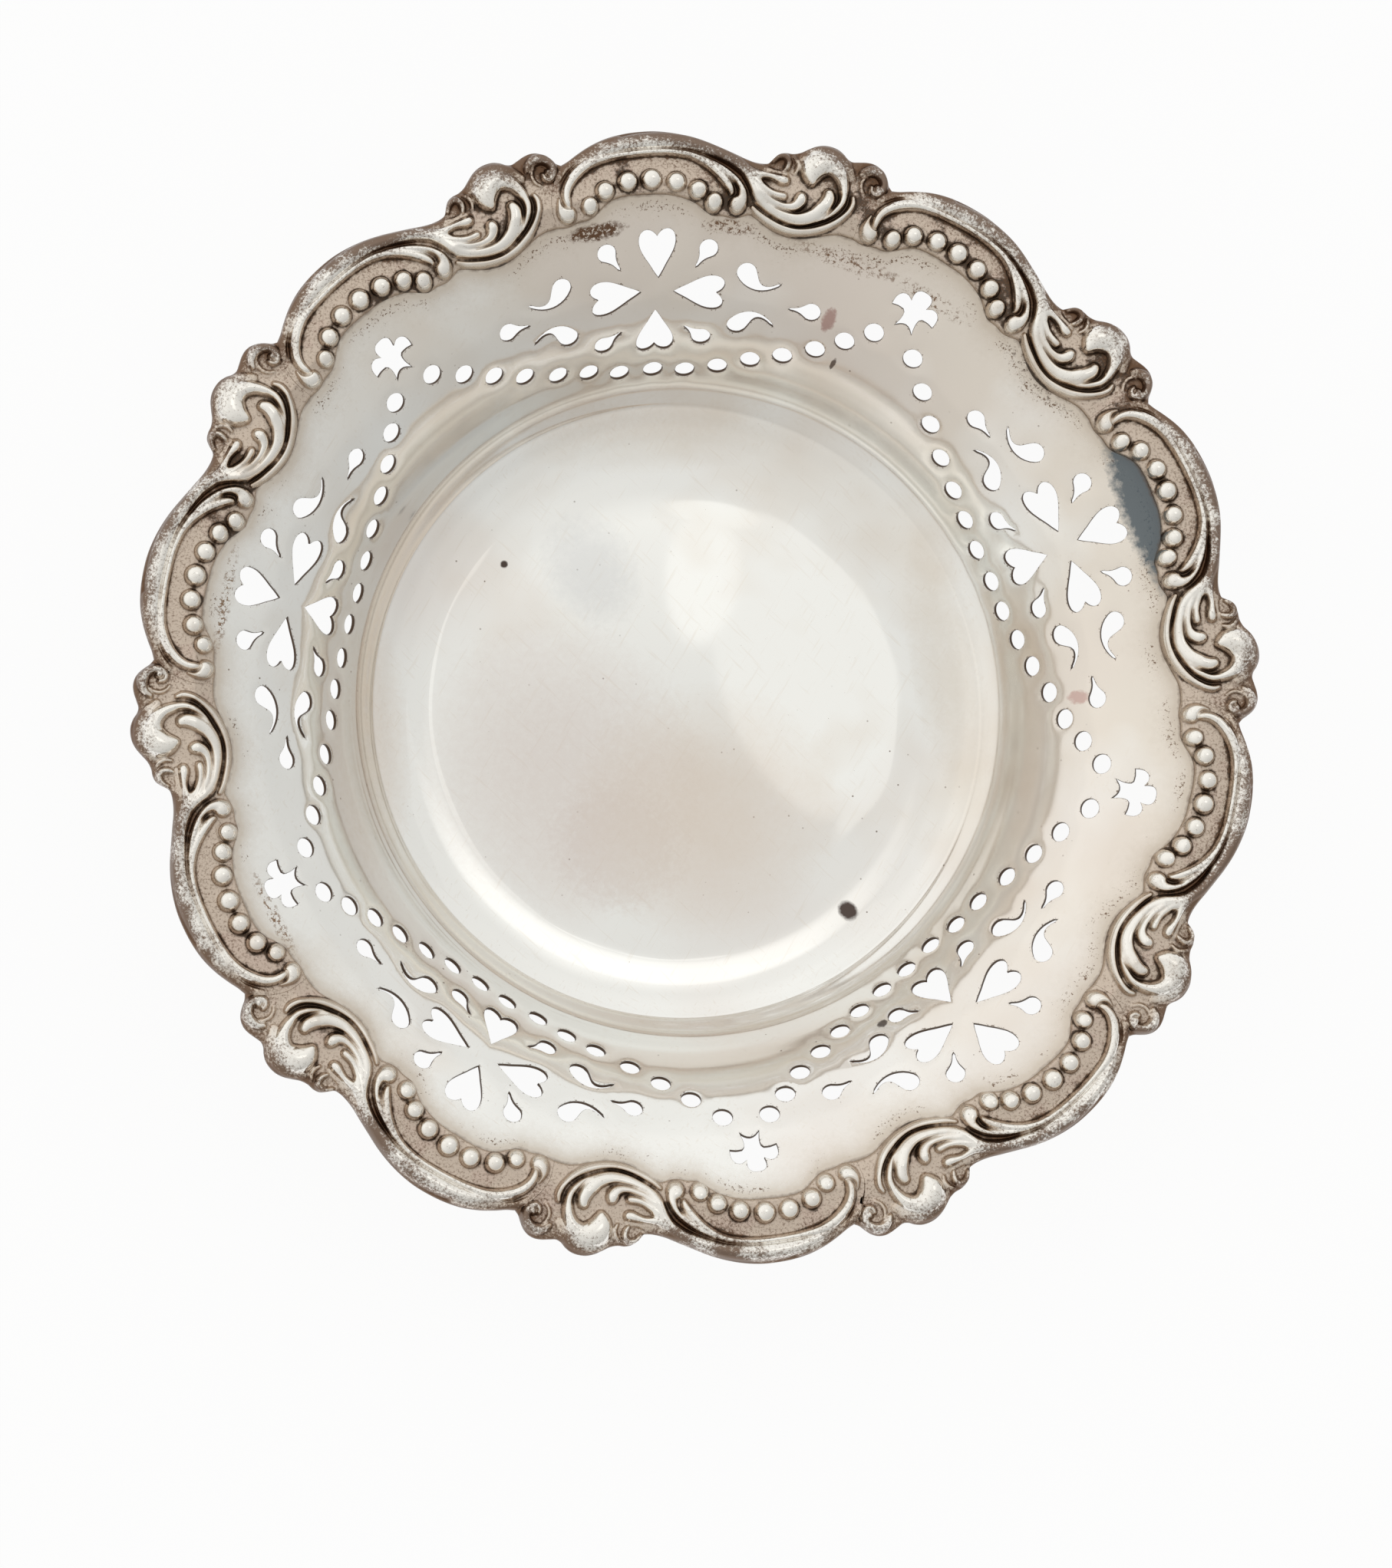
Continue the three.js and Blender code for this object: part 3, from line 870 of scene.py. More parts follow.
    def _solder_band(self, points: Array) -> Array:
        """How much solder and scale lie on each point: it fades with the distance inside the border.

        Args:
            points: one row of x, y, z for each point.

        Returns:
            One value for each point, from 0 to 1.
        """
        turn = np.arctan2(points[:, 0], points[:, 1])
        edge = self.border_edge(turn)
        gap = np.maximum(edge - np.hypot(points[:, 0], points[:, 1]), 0)
        return np.exp(-gap / self.band_reach)


@dataclass(frozen=True)
class Stroke:
    """One raised line of the border: rows of u, v, half width and height, and how round its back is."""

    table: Table
    roundness: float = 0.5


@dataclass
class BorderDie:
    """The relief of one border unit, as it is cut in the die.

    It is drawn on a flat strip in millimetres: u runs clockwise along the bead circle from the middle
    of the lobe, v outwards from it, and heights stand above the strip's ground.
    """

    pitch: float = 42.73
    circle: float = 68.0
    step: float = 0.06
    start: Pair = (-16.5, -8.5)
    size: Pair = (50.0, 17.0)
    struck_blur: float = 0.07
    rubbed_blur: float = 0.2
    bead_sink: float = 0.35
    deepest: float = -0.3
    outline_step: float = 0.1
    # A hollow is what lies below the relief's mean, taken over a near and a far distance. The border is
    # darkened by it, as tarnish and as painted shade round its forms
    near_blur: float = 0.24
    near_depth: float = 0.3
    near_share: float = 0.5
    far_blur: float = 0.9
    far_depth: float = 0.8
    far_share: float = 0.45
    strokes: tuple[Stroke, ...] = (
        # The bank between the left arm and the outer edge, and the skirts of the roll, leaf and knob
        Stroke(((-12.6, 2.2, 0.7, 0.3), (-10.6, 3.2, 0.8, 0.5), (-8.6, 4.1, 0.9, 0.75),
                (-6.6, 4.8, 1, 0.95), (-4.2, 5.3, 1, 1.1))),
        Stroke(((7, 4.2, 0.9, 1.1), (9, 3.6, 0.9, 1), (11, 2.95, 0.8, 0.85), (13, 2.15, 0.7, 0.6),
                (14.6, 1.9, 0.6, 0.4), (16.2, 1.75, 0.5, 0.35), (17.4, 1.7, 0.45, 0.3))),
        Stroke(((19.6, 4.3, 0.9, 0.6), (20.6, 5.1, 1.1, 1), (22.1, 5.5, 1.2, 1.15), (23.5, 5.3, 1.1, 1.1),
                (24.7, 4.6, 0.9, 0.8), (25.7, 3.5, 0.7, 0.5)), 0.55),
        Stroke(((27.2, 4.6, 0.8, 0.5), (28.3, 5.1, 0.9, 0.7), (29.5, 4.7, 0.9, 0.6))),
        # The outer roll, from the left bank over the lobe
        Stroke(((-9, 3.35, 0.5, 0.8), (-7.8, 3.85, 0.65, 1.1), (-6.8, 4.2, 0.75, 1.3),
                (-4.8, 4.7, 0.98, 1.5), (-2.8, 4.98, 1.15, 1.65), (-0.8, 5.06, 1.22, 1.7),
                (1.2, 5.03, 1.22, 1.7), (3.2, 4.85, 1.15, 1.7), (5.2, 4.5, 1.08, 1.65),
                (7.2, 3.87, 1, 1.6), (9.2, 3.15, 0.92, 1.55), (10.2, 2.75, 0.88, 1.5),
                (11.2, 2.15, 0.86, 1.45), (12.2, 1.45, 0.86, 1.42)), 0.48),
        # The fan that the roll opens into: the upper fingers
        Stroke(((12.2, 1.45, 0.86, 1.42), (13.35, 1.05, 0.78, 1.36), (14.35, 1.1, 0.52, 1.28),
                (15.35, 1.12, 0.45, 1.22), (16.35, 0.98, 0.58, 1.25), (17.05, 0.85, 0.7, 1.28),
                (17.4, 0.85, 0.66, 1.2)), 0.45),
        Stroke(((12.3, 1.25, 0.8, 1.4), (13.35, 0.35, 0.85, 1.34), (14.35, -0.4, 0.62, 1.25),
                (15.35, -0.9, 0.46, 1.15), (16.35, -1.2, 0.48, 1.15), (17.2, -1.25, 0.52, 1.15),
                (17.55, -1.22, 0.5, 1.08)), 0.42),
        # The hooked finger
        Stroke(((12.5, 0.95, 0.8, 1.4), (13.35, -0.15, 0.8, 1.3), (14.35, -1.25, 0.68, 1.2),
                (15.35, -1.9, 0.56, 1.15), (16.65, -2.32, 0.5, 1.15), (17.95, -2.5, 0.53, 1.2),
                (18.95, -2.35, 0.65, 1.25), (19.6, -1.85, 0.78, 1.35), (19.85, -1.15, 0.86, 1.42),
                (19.85, -0.92, 0.76, 1.36)), 0.48),
        # The broad basin that ends in the scooped finger
        Stroke(((12.75, 0.65, 0.75, 1.36), (13.5, -0.85, 0.78, 1.3), (14.35, -2.05, 0.78, 1.2),
                (15.35, -2.85, 0.7, 1.15), (16.35, -3.25, 0.74, 1.15), (17.35, -3.52, 0.82, 1.2),
                (18.35, -3.7, 0.88, 1.22), (19.35, -3.76, 0.92, 1.25), (20.35, -3.65, 0.98, 1.28),
                (21.35, -3.3, 1.05, 1.32), (22.25, -2.7, 1.1, 1.36), (22.85, -1.9, 1.06, 1.4),
                (23.3, -1, 1, 1.4), (23.5, -0.1, 0.9, 1.35), (23.38, 0.42, 0.74, 1.22))),
        # The knob, whose tail sweeps down into the basin
        Stroke(((20.85, 1.4, 0.62, 1.5), (20.7, 2.1, 1.12, 1.8), (20.7, 3, 1.6, 2.1),
                (21.1, 3.8, 1.85, 2.15), (21.95, 4.25, 1.68, 2), (22.95, 4.15, 1.34, 1.85),
                (23.85, 3.68, 1.1, 1.7), (24.55, 2.9, 0.9, 1.58), (25.02, 1.95, 0.74, 1.48),
                (25.3, 0.9, 0.63, 1.38), (25.35, -0.1, 0.57, 1.32), (24.98, -1.1, 0.55, 1.26),
                (24.35, -2, 0.53, 1.2), (23.6, -2.75, 0.5, 1.15), (22.7, -3.3, 0.45, 1))),
        # The crescent under the basin
        Stroke(((13.5, -3.2, 0.32, 0.65), (14.45, -3.88, 0.44, 0.85), (15.95, -4.55, 0.5, 0.95),
                (17.45, -4.98, 0.52, 1), (18.95, -5.18, 0.53, 1), (20.45, -5.14, 0.53, 1),
                (21.95, -4.84, 0.53, 1), (23.15, -4.38, 0.54, 1), (24.35, -3.7, 0.55, 1.05),
                (25.35, -2.8, 0.55, 1.05), (26.05, -1.85, 0.55, 1.08), (26.6, -0.8, 0.54, 1.08),
                (26.8, 0.15, 0.46, 1.02), (26.6, 0.88, 0.33, 0.9)), 0.48),
        # The inner scroll round the beads, with its left arm
        Stroke(((-12.15, -1.75, 0.45, 1.15), (-12.2, -1.1, 0.58, 1.3), (-12.1, -0.4, 0.62, 1.35),
                (-11.7, 0.5, 0.68, 1.4), (-10.95, 1.4, 0.73, 1.45), (-9.95, 2.2, 0.76, 1.5),
                (-8.8, 2.85, 0.76, 1.5), (-7.3, 3.3, 0.66, 1.45), (-5.3, 3.5, 0.52, 1.4),
                (-2.8, 3.6, 0.47, 1.4), (-0.3, 3.62, 0.46, 1.4), (1.7, 3.56, 0.46, 1.4),
                (3.2, 3.4, 0.47, 1.4), (5.2, 2.95, 0.55, 1.4), (6.2, 2.5, 0.6, 1.4),
                (7.2, 1.87, 0.61, 1.4), (8.2, 1.07, 0.62, 1.4), (9, 0.27, 0.62, 1.38),
                (9.7, -0.53, 0.6, 1.32), (10.18, -1.22, 0.5, 1.2), (10.38, -1.72, 0.35, 1.05)), 0.42),
        # Its second strand, which swells into the right-hand drop
        Stroke(((6.2, 3, 0.32, 1.28), (7.2, 2.45, 0.42, 1.35), (8.2, 1.9, 0.5, 1.38),
                (9.2, 1.28, 0.55, 1.38), (10.2, 0.58, 0.55, 1.36), (11.15, -0.3, 0.55, 1.32),
                (11.75, -1.2, 0.6, 1.26), (11.95, -2.1, 0.78, 1.26), (11.72, -2.8, 1.05, 1.32),
                (11.38, -3.1, 1.22, 1.4)), 0.46),
        # The left-hand drop that cups the arm's foot
        Stroke(((-13.05, -0.5, 0.18, 0.7), (-13.3, -1.5, 0.38, 0.9), (-13.1, -2.25, 0.8, 1.12),
                (-12.6, -2.72, 1.15, 1.3), (-12.35, -2.8, 1.18, 1.34))),
        # The folded leaf tip before the knob
        Stroke(((15.5, 3.1, 0.28, 0.65), (16.15, 3.9, 0.38, 0.95), (16.95, 4.1, 0.45, 1.02),
                (17.45, 3.6, 0.44, 1.02), (17.45, 2.85, 0.4, 0.92), (17.2, 2.25, 0.3, 0.7))),
        Stroke(((18.1, 4.2, 0.3, 0.65), (18.65, 3.6, 0.34, 0.7), (18.8, 2.9, 0.32, 0.65),
                (18.6, 2.2, 0.26, 0.5))),
        # The small curl, its eye and the folds beside it
        Stroke(((26.75, 4.2, 0.34, 0.7), (27.3, 4.95, 0.55, 1), (28.15, 5.28, 0.72, 1.22),
                (29.05, 5.08, 0.76, 1.32), (29.7, 4.4, 0.72, 1.32), (29.95, 3.5, 0.62, 1.26),
                (29.75, 2.7, 0.5, 1.16), (29.2, 2.25, 0.42, 1.05), (28.65, 2.5, 0.36, 1),
                (28.5, 3.1, 0.3, 0.92)), 0.48),
        Stroke(((29.3, 3.05, 0.46, 1.2), (29.3, 3.2, 0.5, 1.3))),
        Stroke(((27.35, 4, 0.26, 0.5), (27.15, 3.1, 0.28, 0.5), (27.4, 2.3, 0.26, 0.45),
                (27.95, 1.75, 0.24, 0.35))),
    )
    grooves: tuple[Stroke, ...] = (
        # Between the roll and the scroll
        Stroke(((-5.8, 3.92, 0.12, 0.08), (-0.8, 3.96, 0.12, 0.1), (2.2, 3.92, 0.14, 0.18),
                (3.7, 3.8, 0.15, 0.3), (5.2, 3.5, 0.18, 0.45), (6.2, 3.2, 0.2, 0.6),
                (7.2, 2.8, 0.24, 0.8), (8.2, 2.45, 0.27, 1), (9.2, 2, 0.32, 1.15),
                (10.2, 1.4, 0.35, 1.25), (11.2, 0.65, 0.36, 1.3), (12, -0.25, 0.36, 1.25),
                (12.6, -1.2, 0.35, 1.2), (12.9, -2.3, 0.33, 1), (13, -3.2, 0.32, 0.6)), 0.8),
        # Outside the left arm, and round its foot in the drop
        Stroke(((-12.88, -0.7, 0.13, 0.5), (-12.8, 0.2, 0.17, 0.6), (-12.4, 1.05, 0.2, 0.6),
                (-11.75, 1.95, 0.2, 0.55), (-10.75, 2.85, 0.18, 0.4), (-9.8, 3.4, 0.15, 0.25)), 0.8),
        Stroke(((-12.88, -0.7, 0.1, 0.4), (-12.82, -1.4, 0.13, 0.5), (-12.45, -2, 0.14, 0.5),
                (-11.95, -2.15, 0.13, 0.45), (-11.6, -1.95, 0.1, 0.3)), 0.8),
        # The crescent pocket between the strands
        Stroke(((10.42, 0.15, 0.1, 0.3), (10.85, -0.6, 0.17, 0.8), (11.08, -1.3, 0.22, 0.95),
                (10.85, -1.92, 0.2, 0.7), (10.45, -2.15, 0.14, 0.4)), 0.8),
        # The eyelet between the upper fingers
        Stroke(((14.75, 0.18, 0.28, 0.9), (15.3, 0.12, 0.4, 1.1), (16, -0.05, 0.33, 1),
                (17, -0.2, 0.34, 0.9), (18, -0.2, 0.42, 0.7)), 0.7),
        # Under the second and the hooked finger
        Stroke(((15.9, -1.65, 0.1, 0.2), (16.85, -1.82, 0.14, 0.45), (17.75, -1.88, 0.18, 0.65),
                (18.4, -1.5, 0.26, 0.7)), 0.8),
        Stroke(((16.6, -2.85, 0.1, 0.25), (17.85, -3.02, 0.15, 0.55), (18.85, -3.05, 0.18, 0.7),
                (19.85, -2.88, 0.22, 0.8), (20.6, -2.45, 0.3, 0.9), (21.3, -1.9, 0.35, 0.8)), 0.8),
        # Between the scooped finger and the tail
        Stroke(((23.5, -2.85, 0.1, 0.3), (24, -2.15, 0.15, 0.6), (24.45, -1.25, 0.2, 0.7),
                (24.75, -0.3, 0.26, 0.6), (24.75, 0.7, 0.3, 0.4)), 0.8),
        # Under the basin, opening into a pocket beside the crescent
        Stroke(((14.3, -3, 0.13, 0.5), (15.35, -3.62, 0.17, 0.75), (16.35, -4.04, 0.19, 0.85),
                (17.35, -4.4, 0.2, 0.9), (18.35, -4.62, 0.2, 0.9), (19.35, -4.72, 0.2, 0.9),
                (20.35, -4.67, 0.2, 0.9), (21.35, -4.42, 0.2, 0.9), (22.35, -4.02, 0.23, 0.9),
                (23.35, -3.45, 0.26, 0.9), (24.35, -2.85, 0.28, 0.9), (25.3, -2.05, 0.28, 0.9),
                (25.95, -1.1, 0.3, 0.95), (26.15, -0.1, 0.3, 0.95), (26.05, 0.8, 0.26, 0.6)), 0.8),
        # The hook in the curl
        Stroke(((27.9, 4.3, 0.15, 0.5), (28.55, 4.38, 0.2, 0.9), (29.15, 4.08, 0.2, 0.9),
                (29.45, 3.68, 0.14, 0.5)), 0.8),
        # The spiral line on the knob
        Stroke(((22.25, 2.9, 0.16, 0.14), (22.65, 3.6, 0.22, 0.16), (23.5, 4, 0.24, 0.14),
                (24.4, 3.6, 0.16, 0.06)), 1.0),
        # The hollows of the leaf tip
        Stroke(((15.9, 2.55, 0.42, 0.35), (16.4, 3, 0.46, 0.45)), 0.7),
        Stroke(((18.15, 3.1, 0.36, 0.4), (18.15, 2.4, 0.32, 0.35)), 0.7),
        # The channel before the next unit
        Stroke(((28.1, 1.4, 0.5, 0.1), (28.1, -0.4, 0.6, 0.2), (27.8, -2.4, 0.5, 0.1)), 1.0),
        Stroke(((-14.63, 1.4, 0.5, 0.1), (-14.63, -0.4, 0.6, 0.2), (-14.93, -2.4, 0.5, 0.1)), 1.0),
    )
    beads: Table = (
        (-9.2, -2.35, 1.18), (-6.8, -0.75, 1.28), (-3.6, 0.05, 1.3), (-0.4, 0.05, 1.36),
        (2.9, -0.42, 1.3), (5.8, -1.48, 1.26), (8.1, -3.02, 1.24),
    )
    seam: Table = ((-14.3, -3.9), (-14.25, -1), (-13.5, 1), (-11.5, 3.85))
    outer: Table = (
        (-11.5, 3.85), (-10.6, 4.15), (-9.3, 4.78), (-7.3, 5.65), (-5.3, 6.25), (-3.3, 6.55),
        (-1.3, 6.65), (0.7, 6.6), (2.7, 6.32), (4.7, 5.85), (6.7, 5.2), (8.7, 4.4), (10.7, 3.65),
        (12.3, 3.1), (13.5, 2.88), (14.4, 2.86), (15.05, 3), (15.5, 3.45), (15.9, 4.05), (16.4, 4.55),
        (17.1, 4.8), (18, 4.86), (18.8, 5.15), (19.75, 5.85), (20.65, 6.5), (21.55, 6.88),
        (22.45, 6.98), (23.35, 6.85), (24.15, 6.45), (24.8, 5.95), (25.3, 5.78), (26.2, 6),
        (27.1, 6.3), (27.95, 6.42), (28.75, 6.25), (29.55, 5.72), (30.15, 5), (30.7, 4.25), (31.23, 3.85),
    )
    inner: Table = (
        (-14.3, -3.9), (-12.5, -4.15), (-11, -3.9), (-9.2, -3.78), (-8, -3.2), (-6.8, -2.4),
        (-5.4, -1.85), (-3.6, -1.68), (-2, -1.7), (-0.4, -1.78), (1.2, -1.85), (2.9, -2.12),
        (4.4, -2.5), (5.8, -3.05), (7, -3.85), (8.1, -4.42), (9.6, -4.45), (11.3, -4.6), (12.6, -4.25),
        (13.35, -4), (14.35, -4.35), (15.35, -4.85), (16.35, -5.28), (17.35, -5.6), (18.35, -5.8),
        (19.35, -5.9), (20.35, -5.86), (21.35, -5.7), (22.35, -5.45), (23.35, -5.1), (24.35, -4.7),
        (25.35, -4.3), (26.5, -4), (28.43, -3.9),
    )
    relief: Array = field(init=False)
    rubbed: Array = field(init=False)
    hollow: Array = field(init=False)

    def __post_init__(self) -> None:
        """Cuts the die once, for every unit is struck in it."""
        self.relief = self._cut()
        self.rubbed = softened(self.relief, self.rubbed_blur, self.step)
        self.hollow = self._hollows()

    def _sweep(self, stroke: Stroke) -> Array:
        """The height that a stroke raises: the envelope of domes along its line.

        A dome of half width w and height h stands h * (1 - (d / w) ** 2) ** roundness high at the
        distance d from its middle.

        Args:
            stroke: the line, its widths and its heights.

        Returns:
            The height at each point of the die's grid.
        """
        columns, rows = (round(size / self.step) for size in self.size)
        raised = np.zeros((rows, columns))
        for u, v, half, height in drawn_line(stroke.table, self.step):
            left, low = ((u - half - self.start[0]) / self.step, (v - half - self.start[1]) / self.step)
            count = int(2 * half / self.step) + 3
            i, j = max(int(low), 0), max(int(left), 0)
            window = raised[i : i + count, j : j + count]
            y = self.start[1] + self.step * (i + np.arange(window.shape[0]))[:, None] - v
            x = self.start[0] + self.step * (j + np.arange(window.shape[1]))[None, :] - u
            inside = np.clip(1 - (x * x + y * y) / half**2, 0, 1)
            np.maximum(window, height * inside**stroke.roundness, out=window)
        return raised

    def _cut(self) -> Array:
        """The whole relief: the highest of all strokes and beads, less the grooves, softly struck.

        Returns:
            The height at each point of the die's grid.
        """
        raised = np.maximum.reduce([self._sweep(stroke) for stroke in self.strokes])
        for groove in self.grooves:
            raised = np.maximum(raised - self._sweep(groove), self.deepest)
        rows, columns = raised.shape
        v = self.start[1] + self.step * np.arange(rows)[:, None]
        u = self.start[0] + self.step * np.arange(columns)[None, :]
        for bead_u, bead_v, radius in self.beads:
            room = radius**2 - (u - bead_u) ** 2 - (v - bead_v) ** 2
            ball = np.where(room > 0, self.bead_sink + np.sqrt(np.maximum(room, 0)), 0)
            raised = np.maximum(raised, ball)
        return softened(raised, self.struck_blur, self.step)

    def _hollows(self) -> Array:
        """How deep each point lies below its surroundings, near and far.

        Returns:
            A share from 0 to 1 at each point of the die's grid.
        """
        near = softened(self.relief, self.near_blur, self.step) - self.relief
        far = softened(self.relief, self.far_blur, self.step) - self.relief
        near, far = np.clip(near / self.near_depth, 0, 1), np.clip(far / self.far_depth, 0, 1)
        return near * self.near_share + far * self.far_share

    def read(self, layer: Array, u: Array, v: Array) -> Array:
        """Values of a layer at points of the strip, linear between its grid points.

        Args:
            layer: one value for each point of the die's grid.
            u: place of each point along the strip.
            v: place of each point across it.

        Returns:
            The value at each point.
        """
        # Points stop just short of the last grid point, so that each has a next one to mix with
        column = np.clip((u - self.start[0]) / self.step, 0, layer.shape[1] - 1.001)
        row = np.clip((v - self.start[1]) / self.step, 0, layer.shape[0] - 1.001)
        i, j = row.astype(int), column.astype(int)
        a, b = row - i, column - j
        low = layer[i, j] * (1 - b) + layer[i, j + 1] * b
        high = layer[i + 1, j] * (1 - b) + layer[i + 1, j + 1] * b
        return low * (1 - a) + high * a

    def _side(self, table: Table, across: int) -> Array:
        """One side of the outline, read at even steps of u.

        Args:
            table: rows of u and v.
            across: corners along the side.

        Returns:
            One row of u, v for each corner.
        """
        fine = drawn_line(table, self.outline_step)
        run = np.linspace(fine[0, 0], fine[-1, 0], across)
        return np.column_stack([run, np.interp(run, fine[:, 0], fine[:, 1])])

    def net(self, across: int, shares: Array) -> tuple[Array, Array, Array]:
        """A net fitted to a unit's outline: the four sides' places blended over it.

        Args:
            across: corners along the unit.
            shares: how far each row lies from the inner side to the outer one.

        Returns:
            u and v of each corner, and the width of the unit at each column.
        """
        inner, outer = self._side(self.inner, across), self._side(self.outer, across)
        side = drawn_line(self.seam, self.outline_step)
        rise = np.linspace(0, 1, len(side))
        seam = np.column_stack([np.interp(shares, rise, side[:, k]) for k in (0, 1)])
        p = np.linspace(0, 1, across)[None, :, None]
        q = shares[:, None, None]
        far = seam + (self.pitch, 0)
        blend = (1 - q) * inner[None] + q * outer[None] + (1 - p) * seam[:, None] + p * far[:, None]
        blend -= (1 - p) * ((1 - q) * inner[0] + q * outer[0]) + p * ((1 - q) * inner[-1] + q * outer[-1])
        width = np.linalg.norm(outer - inner, axis=1)
        return blend[..., 0], blend[..., 1], width


@dataclass
class StruckBorder:
    """The ten border units, struck in one die and soldered round the rim."""

    sheet: RaisedSheet
    die: BorderDie = field(default_factory=BorderDie)
    count: int = 10
    first_turn: float = math.radians(-6)
    across: int = 440
    rows: int = 112
    strip: float = 0.65
    solder_sink: float = 0.06
    outer_round: float = 0.5
    inner_round: float = 0.3
    unevenness: float = 0.035
    uneven_length: float = 7.0
    # How far the high parts are worn down and rubbed soft: the mean, and how much it varies
    wear: Pair = (0.06, 0.05)
    rubbing: Pair = (0.3, 0.3)
    most_rubbed: float = 0.8
    wear_length: float = 16.0
    edge_crowding: float = 0.06
    # The rows of the back, from the inner edge outwards
    back_shares: tuple[float, ...] = (
        0.015, 0.05, 0.12, 0.22, 0.34, 0.46, 0.58, 0.68, 0.78, 0.87, 0.94, 0.985)
    back_draw: float = 0.45
    back_blur: float = 0.5
    back_start: float = 0.6
    back_edge: float = 0.7
    # How much of the hollows' tarnish and painted shade the back gets
    back_tarnish_and_shade: float = 0.3
    full_relief: float = 1.3
    rim_reach: float = 2.3

    def _seat(self, radius: Array) -> Array:
        """Height of the face that the border lies on, level beyond the flange."""
        height = self.sheet.height_at(radius)
        return np.where(radius < self.sheet.flange_radius, height, self.sheet.flange_top)

    def inner_edge(self, turn: Array) -> Array:
        """Where the border's inner edge lies.

        Args:
            turn: turn of each point of the edge.

        Returns:
            The edge's radius at each turn.
        """
        drawn = drawn_line(self.die.inner, self.die.outline_step)
        u = drawn[0, 0] + np.mod((turn - self.first_turn) * self.die.circle - drawn[0, 0], self.die.pitch)
        return self.die.circle + np.interp(u, drawn[:, 0], drawn[:, 1])

    def _place(self, turn: float, u: Array, v: Array, height: Array) -> Array:
        """Points of the strip bent round the rim.

        Args:
            turn: turn of the strip's middle.
            u: place of each point along the strip.
            v: place of each point outwards from the bead circle.
            height: height of each point.

        Returns:
            One row of x, y, z for each point.
        """
        radius = self.die.circle + v
        angle = turn + u / self.die.circle
        return np.stack([radius * np.sin(angle), radius * np.cos(angle), height], axis=-1).reshape(-1, 3)

    def build_unit(self, index: int) -> bpy.types.Object:
        """Makes one unit.

        Its face is the ground plus the die's relief, rounded down to the seat at both edges. Its
        back lies on the bowl and is drawn up a little behind the high parts past the flange.

        Args:
            index: the unit's number, from zero.

        Returns:
            The unit.
        """
        die = self.die
        turn = self.first_turn + index * 2 * math.pi / self.count
        even = np.linspace(0, 1, self.rows)
        shares = even - self.edge_crowding * np.sin(2 * np.pi * even)
        u, v, width = die.net(self.across, shares)
        radius = die.circle + v
        rubbed, spread = self.rubbing
        rubbing = rubbed + spread * swell(u, v, self.wear_length, seed=60 + index)
        rubbing = np.clip(rubbing, 0, self.most_rubbed)
        relief = (1 - rubbing) * die.read(die.relief, u, v) + rubbing * die.read(die.rubbed, u, v)
        hollow = die.read(die.hollow, u, v)
        uneven = self.unevenness * swell(u, v, self.uneven_length, seed=20 + index)
        mean, spread = self.wear
        worn = mean + spread * swell(u, v, self.wear_length, seed=40 + index)
        high = self._seat(radius) + self.strip + relief * (1 - worn * (relief > 1) * (relief - 1)) + uneven
        gap_out = (1 - shares)[:, None] * width[None, :]
        gap_in = shares[:, None] * width[None, :]
        steep_out = 1 - np.clip(gap_out / self.outer_round, 0, 1)
        steep_in = 1 - np.clip(gap_in / self.inner_round, 0, 1)
        rounding = np.sqrt(1 - steep_out**2) * np.sqrt(1 - steep_in**2)
        seat = self._seat(radius) - self.solder_sink
        face = self._place(turn, u, v, seat + (high - seat) * rounding)

        back_shares = np.array(self.back_shares)
        back_u, back_v, _ = die.net(self.across, back_shares)
        past = np.clip((die.circle + back_v - self.sheet.flange_radius) / self.back_start, 0, 1)
        drawn = self.back_draw * die.read(softened(die.relief, self.back_blur, die.step), back_u, back_v)
        edge = np.clip((1 - back_shares)[:, None] * width[None, :] / self.back_edge, 0, 1)
        back_height = self._seat(die.circle + back_v) - self.solder_sink + past * edge * drawn
        back = self._place(turn, back_u, back_v, back_height)

        size, across = self.rows * self.across, self.across
        cell = np.arange(across - 1)
        row = np.arange(self.rows - 1)[:, None] * across
        first = (row + cell).ravel()
        quads = [np.column_stack([first, first + 1, first + across + 1, first + across])]
        levels = [np.arange(across)]
        levels += [size + k * across + np.arange(across) for k in range(len(back_shares))]
        levels += [size - across + np.arange(across)]
        for near, far in zip(levels[:-1], levels[1:]):
            quads.append(np.column_stack([near[:-1], far[:-1], far[1:], near[1:]]))
        left = np.concatenate([np.arange(self.rows) * across, [level[0] for level in levels[-2:0:-1]]])
        right = np.concatenate([np.arange(self.rows) * across + across - 1,
                                [level[-1] for level in levels[-2:0:-1]]])
        faces = [np.concatenate(quads), left[None, ::-1], right[None, :]]
        total = len(face) + len(back)
        rim = np.zeros(total)
        rim[:size] = np.exp(-gap_out / self.rim_reach).ravel()
        # The hollows darken the face as tarnish and as painted shade; the back is darkened a little all over
        recess = np.full(total, self.back_tarnish_and_shade)
        recess[:size] = hollow.ravel()
        raised = np.zeros(total)
        raised[:size] = np.clip(relief / self.full_relief, 0, 1).ravel()
        return make_piece(
            f"struck_border_{index + 1:02d}", np.concatenate([face, back]), faces,
            {"rim": rim, "recess": recess, "raised": raised},
        )


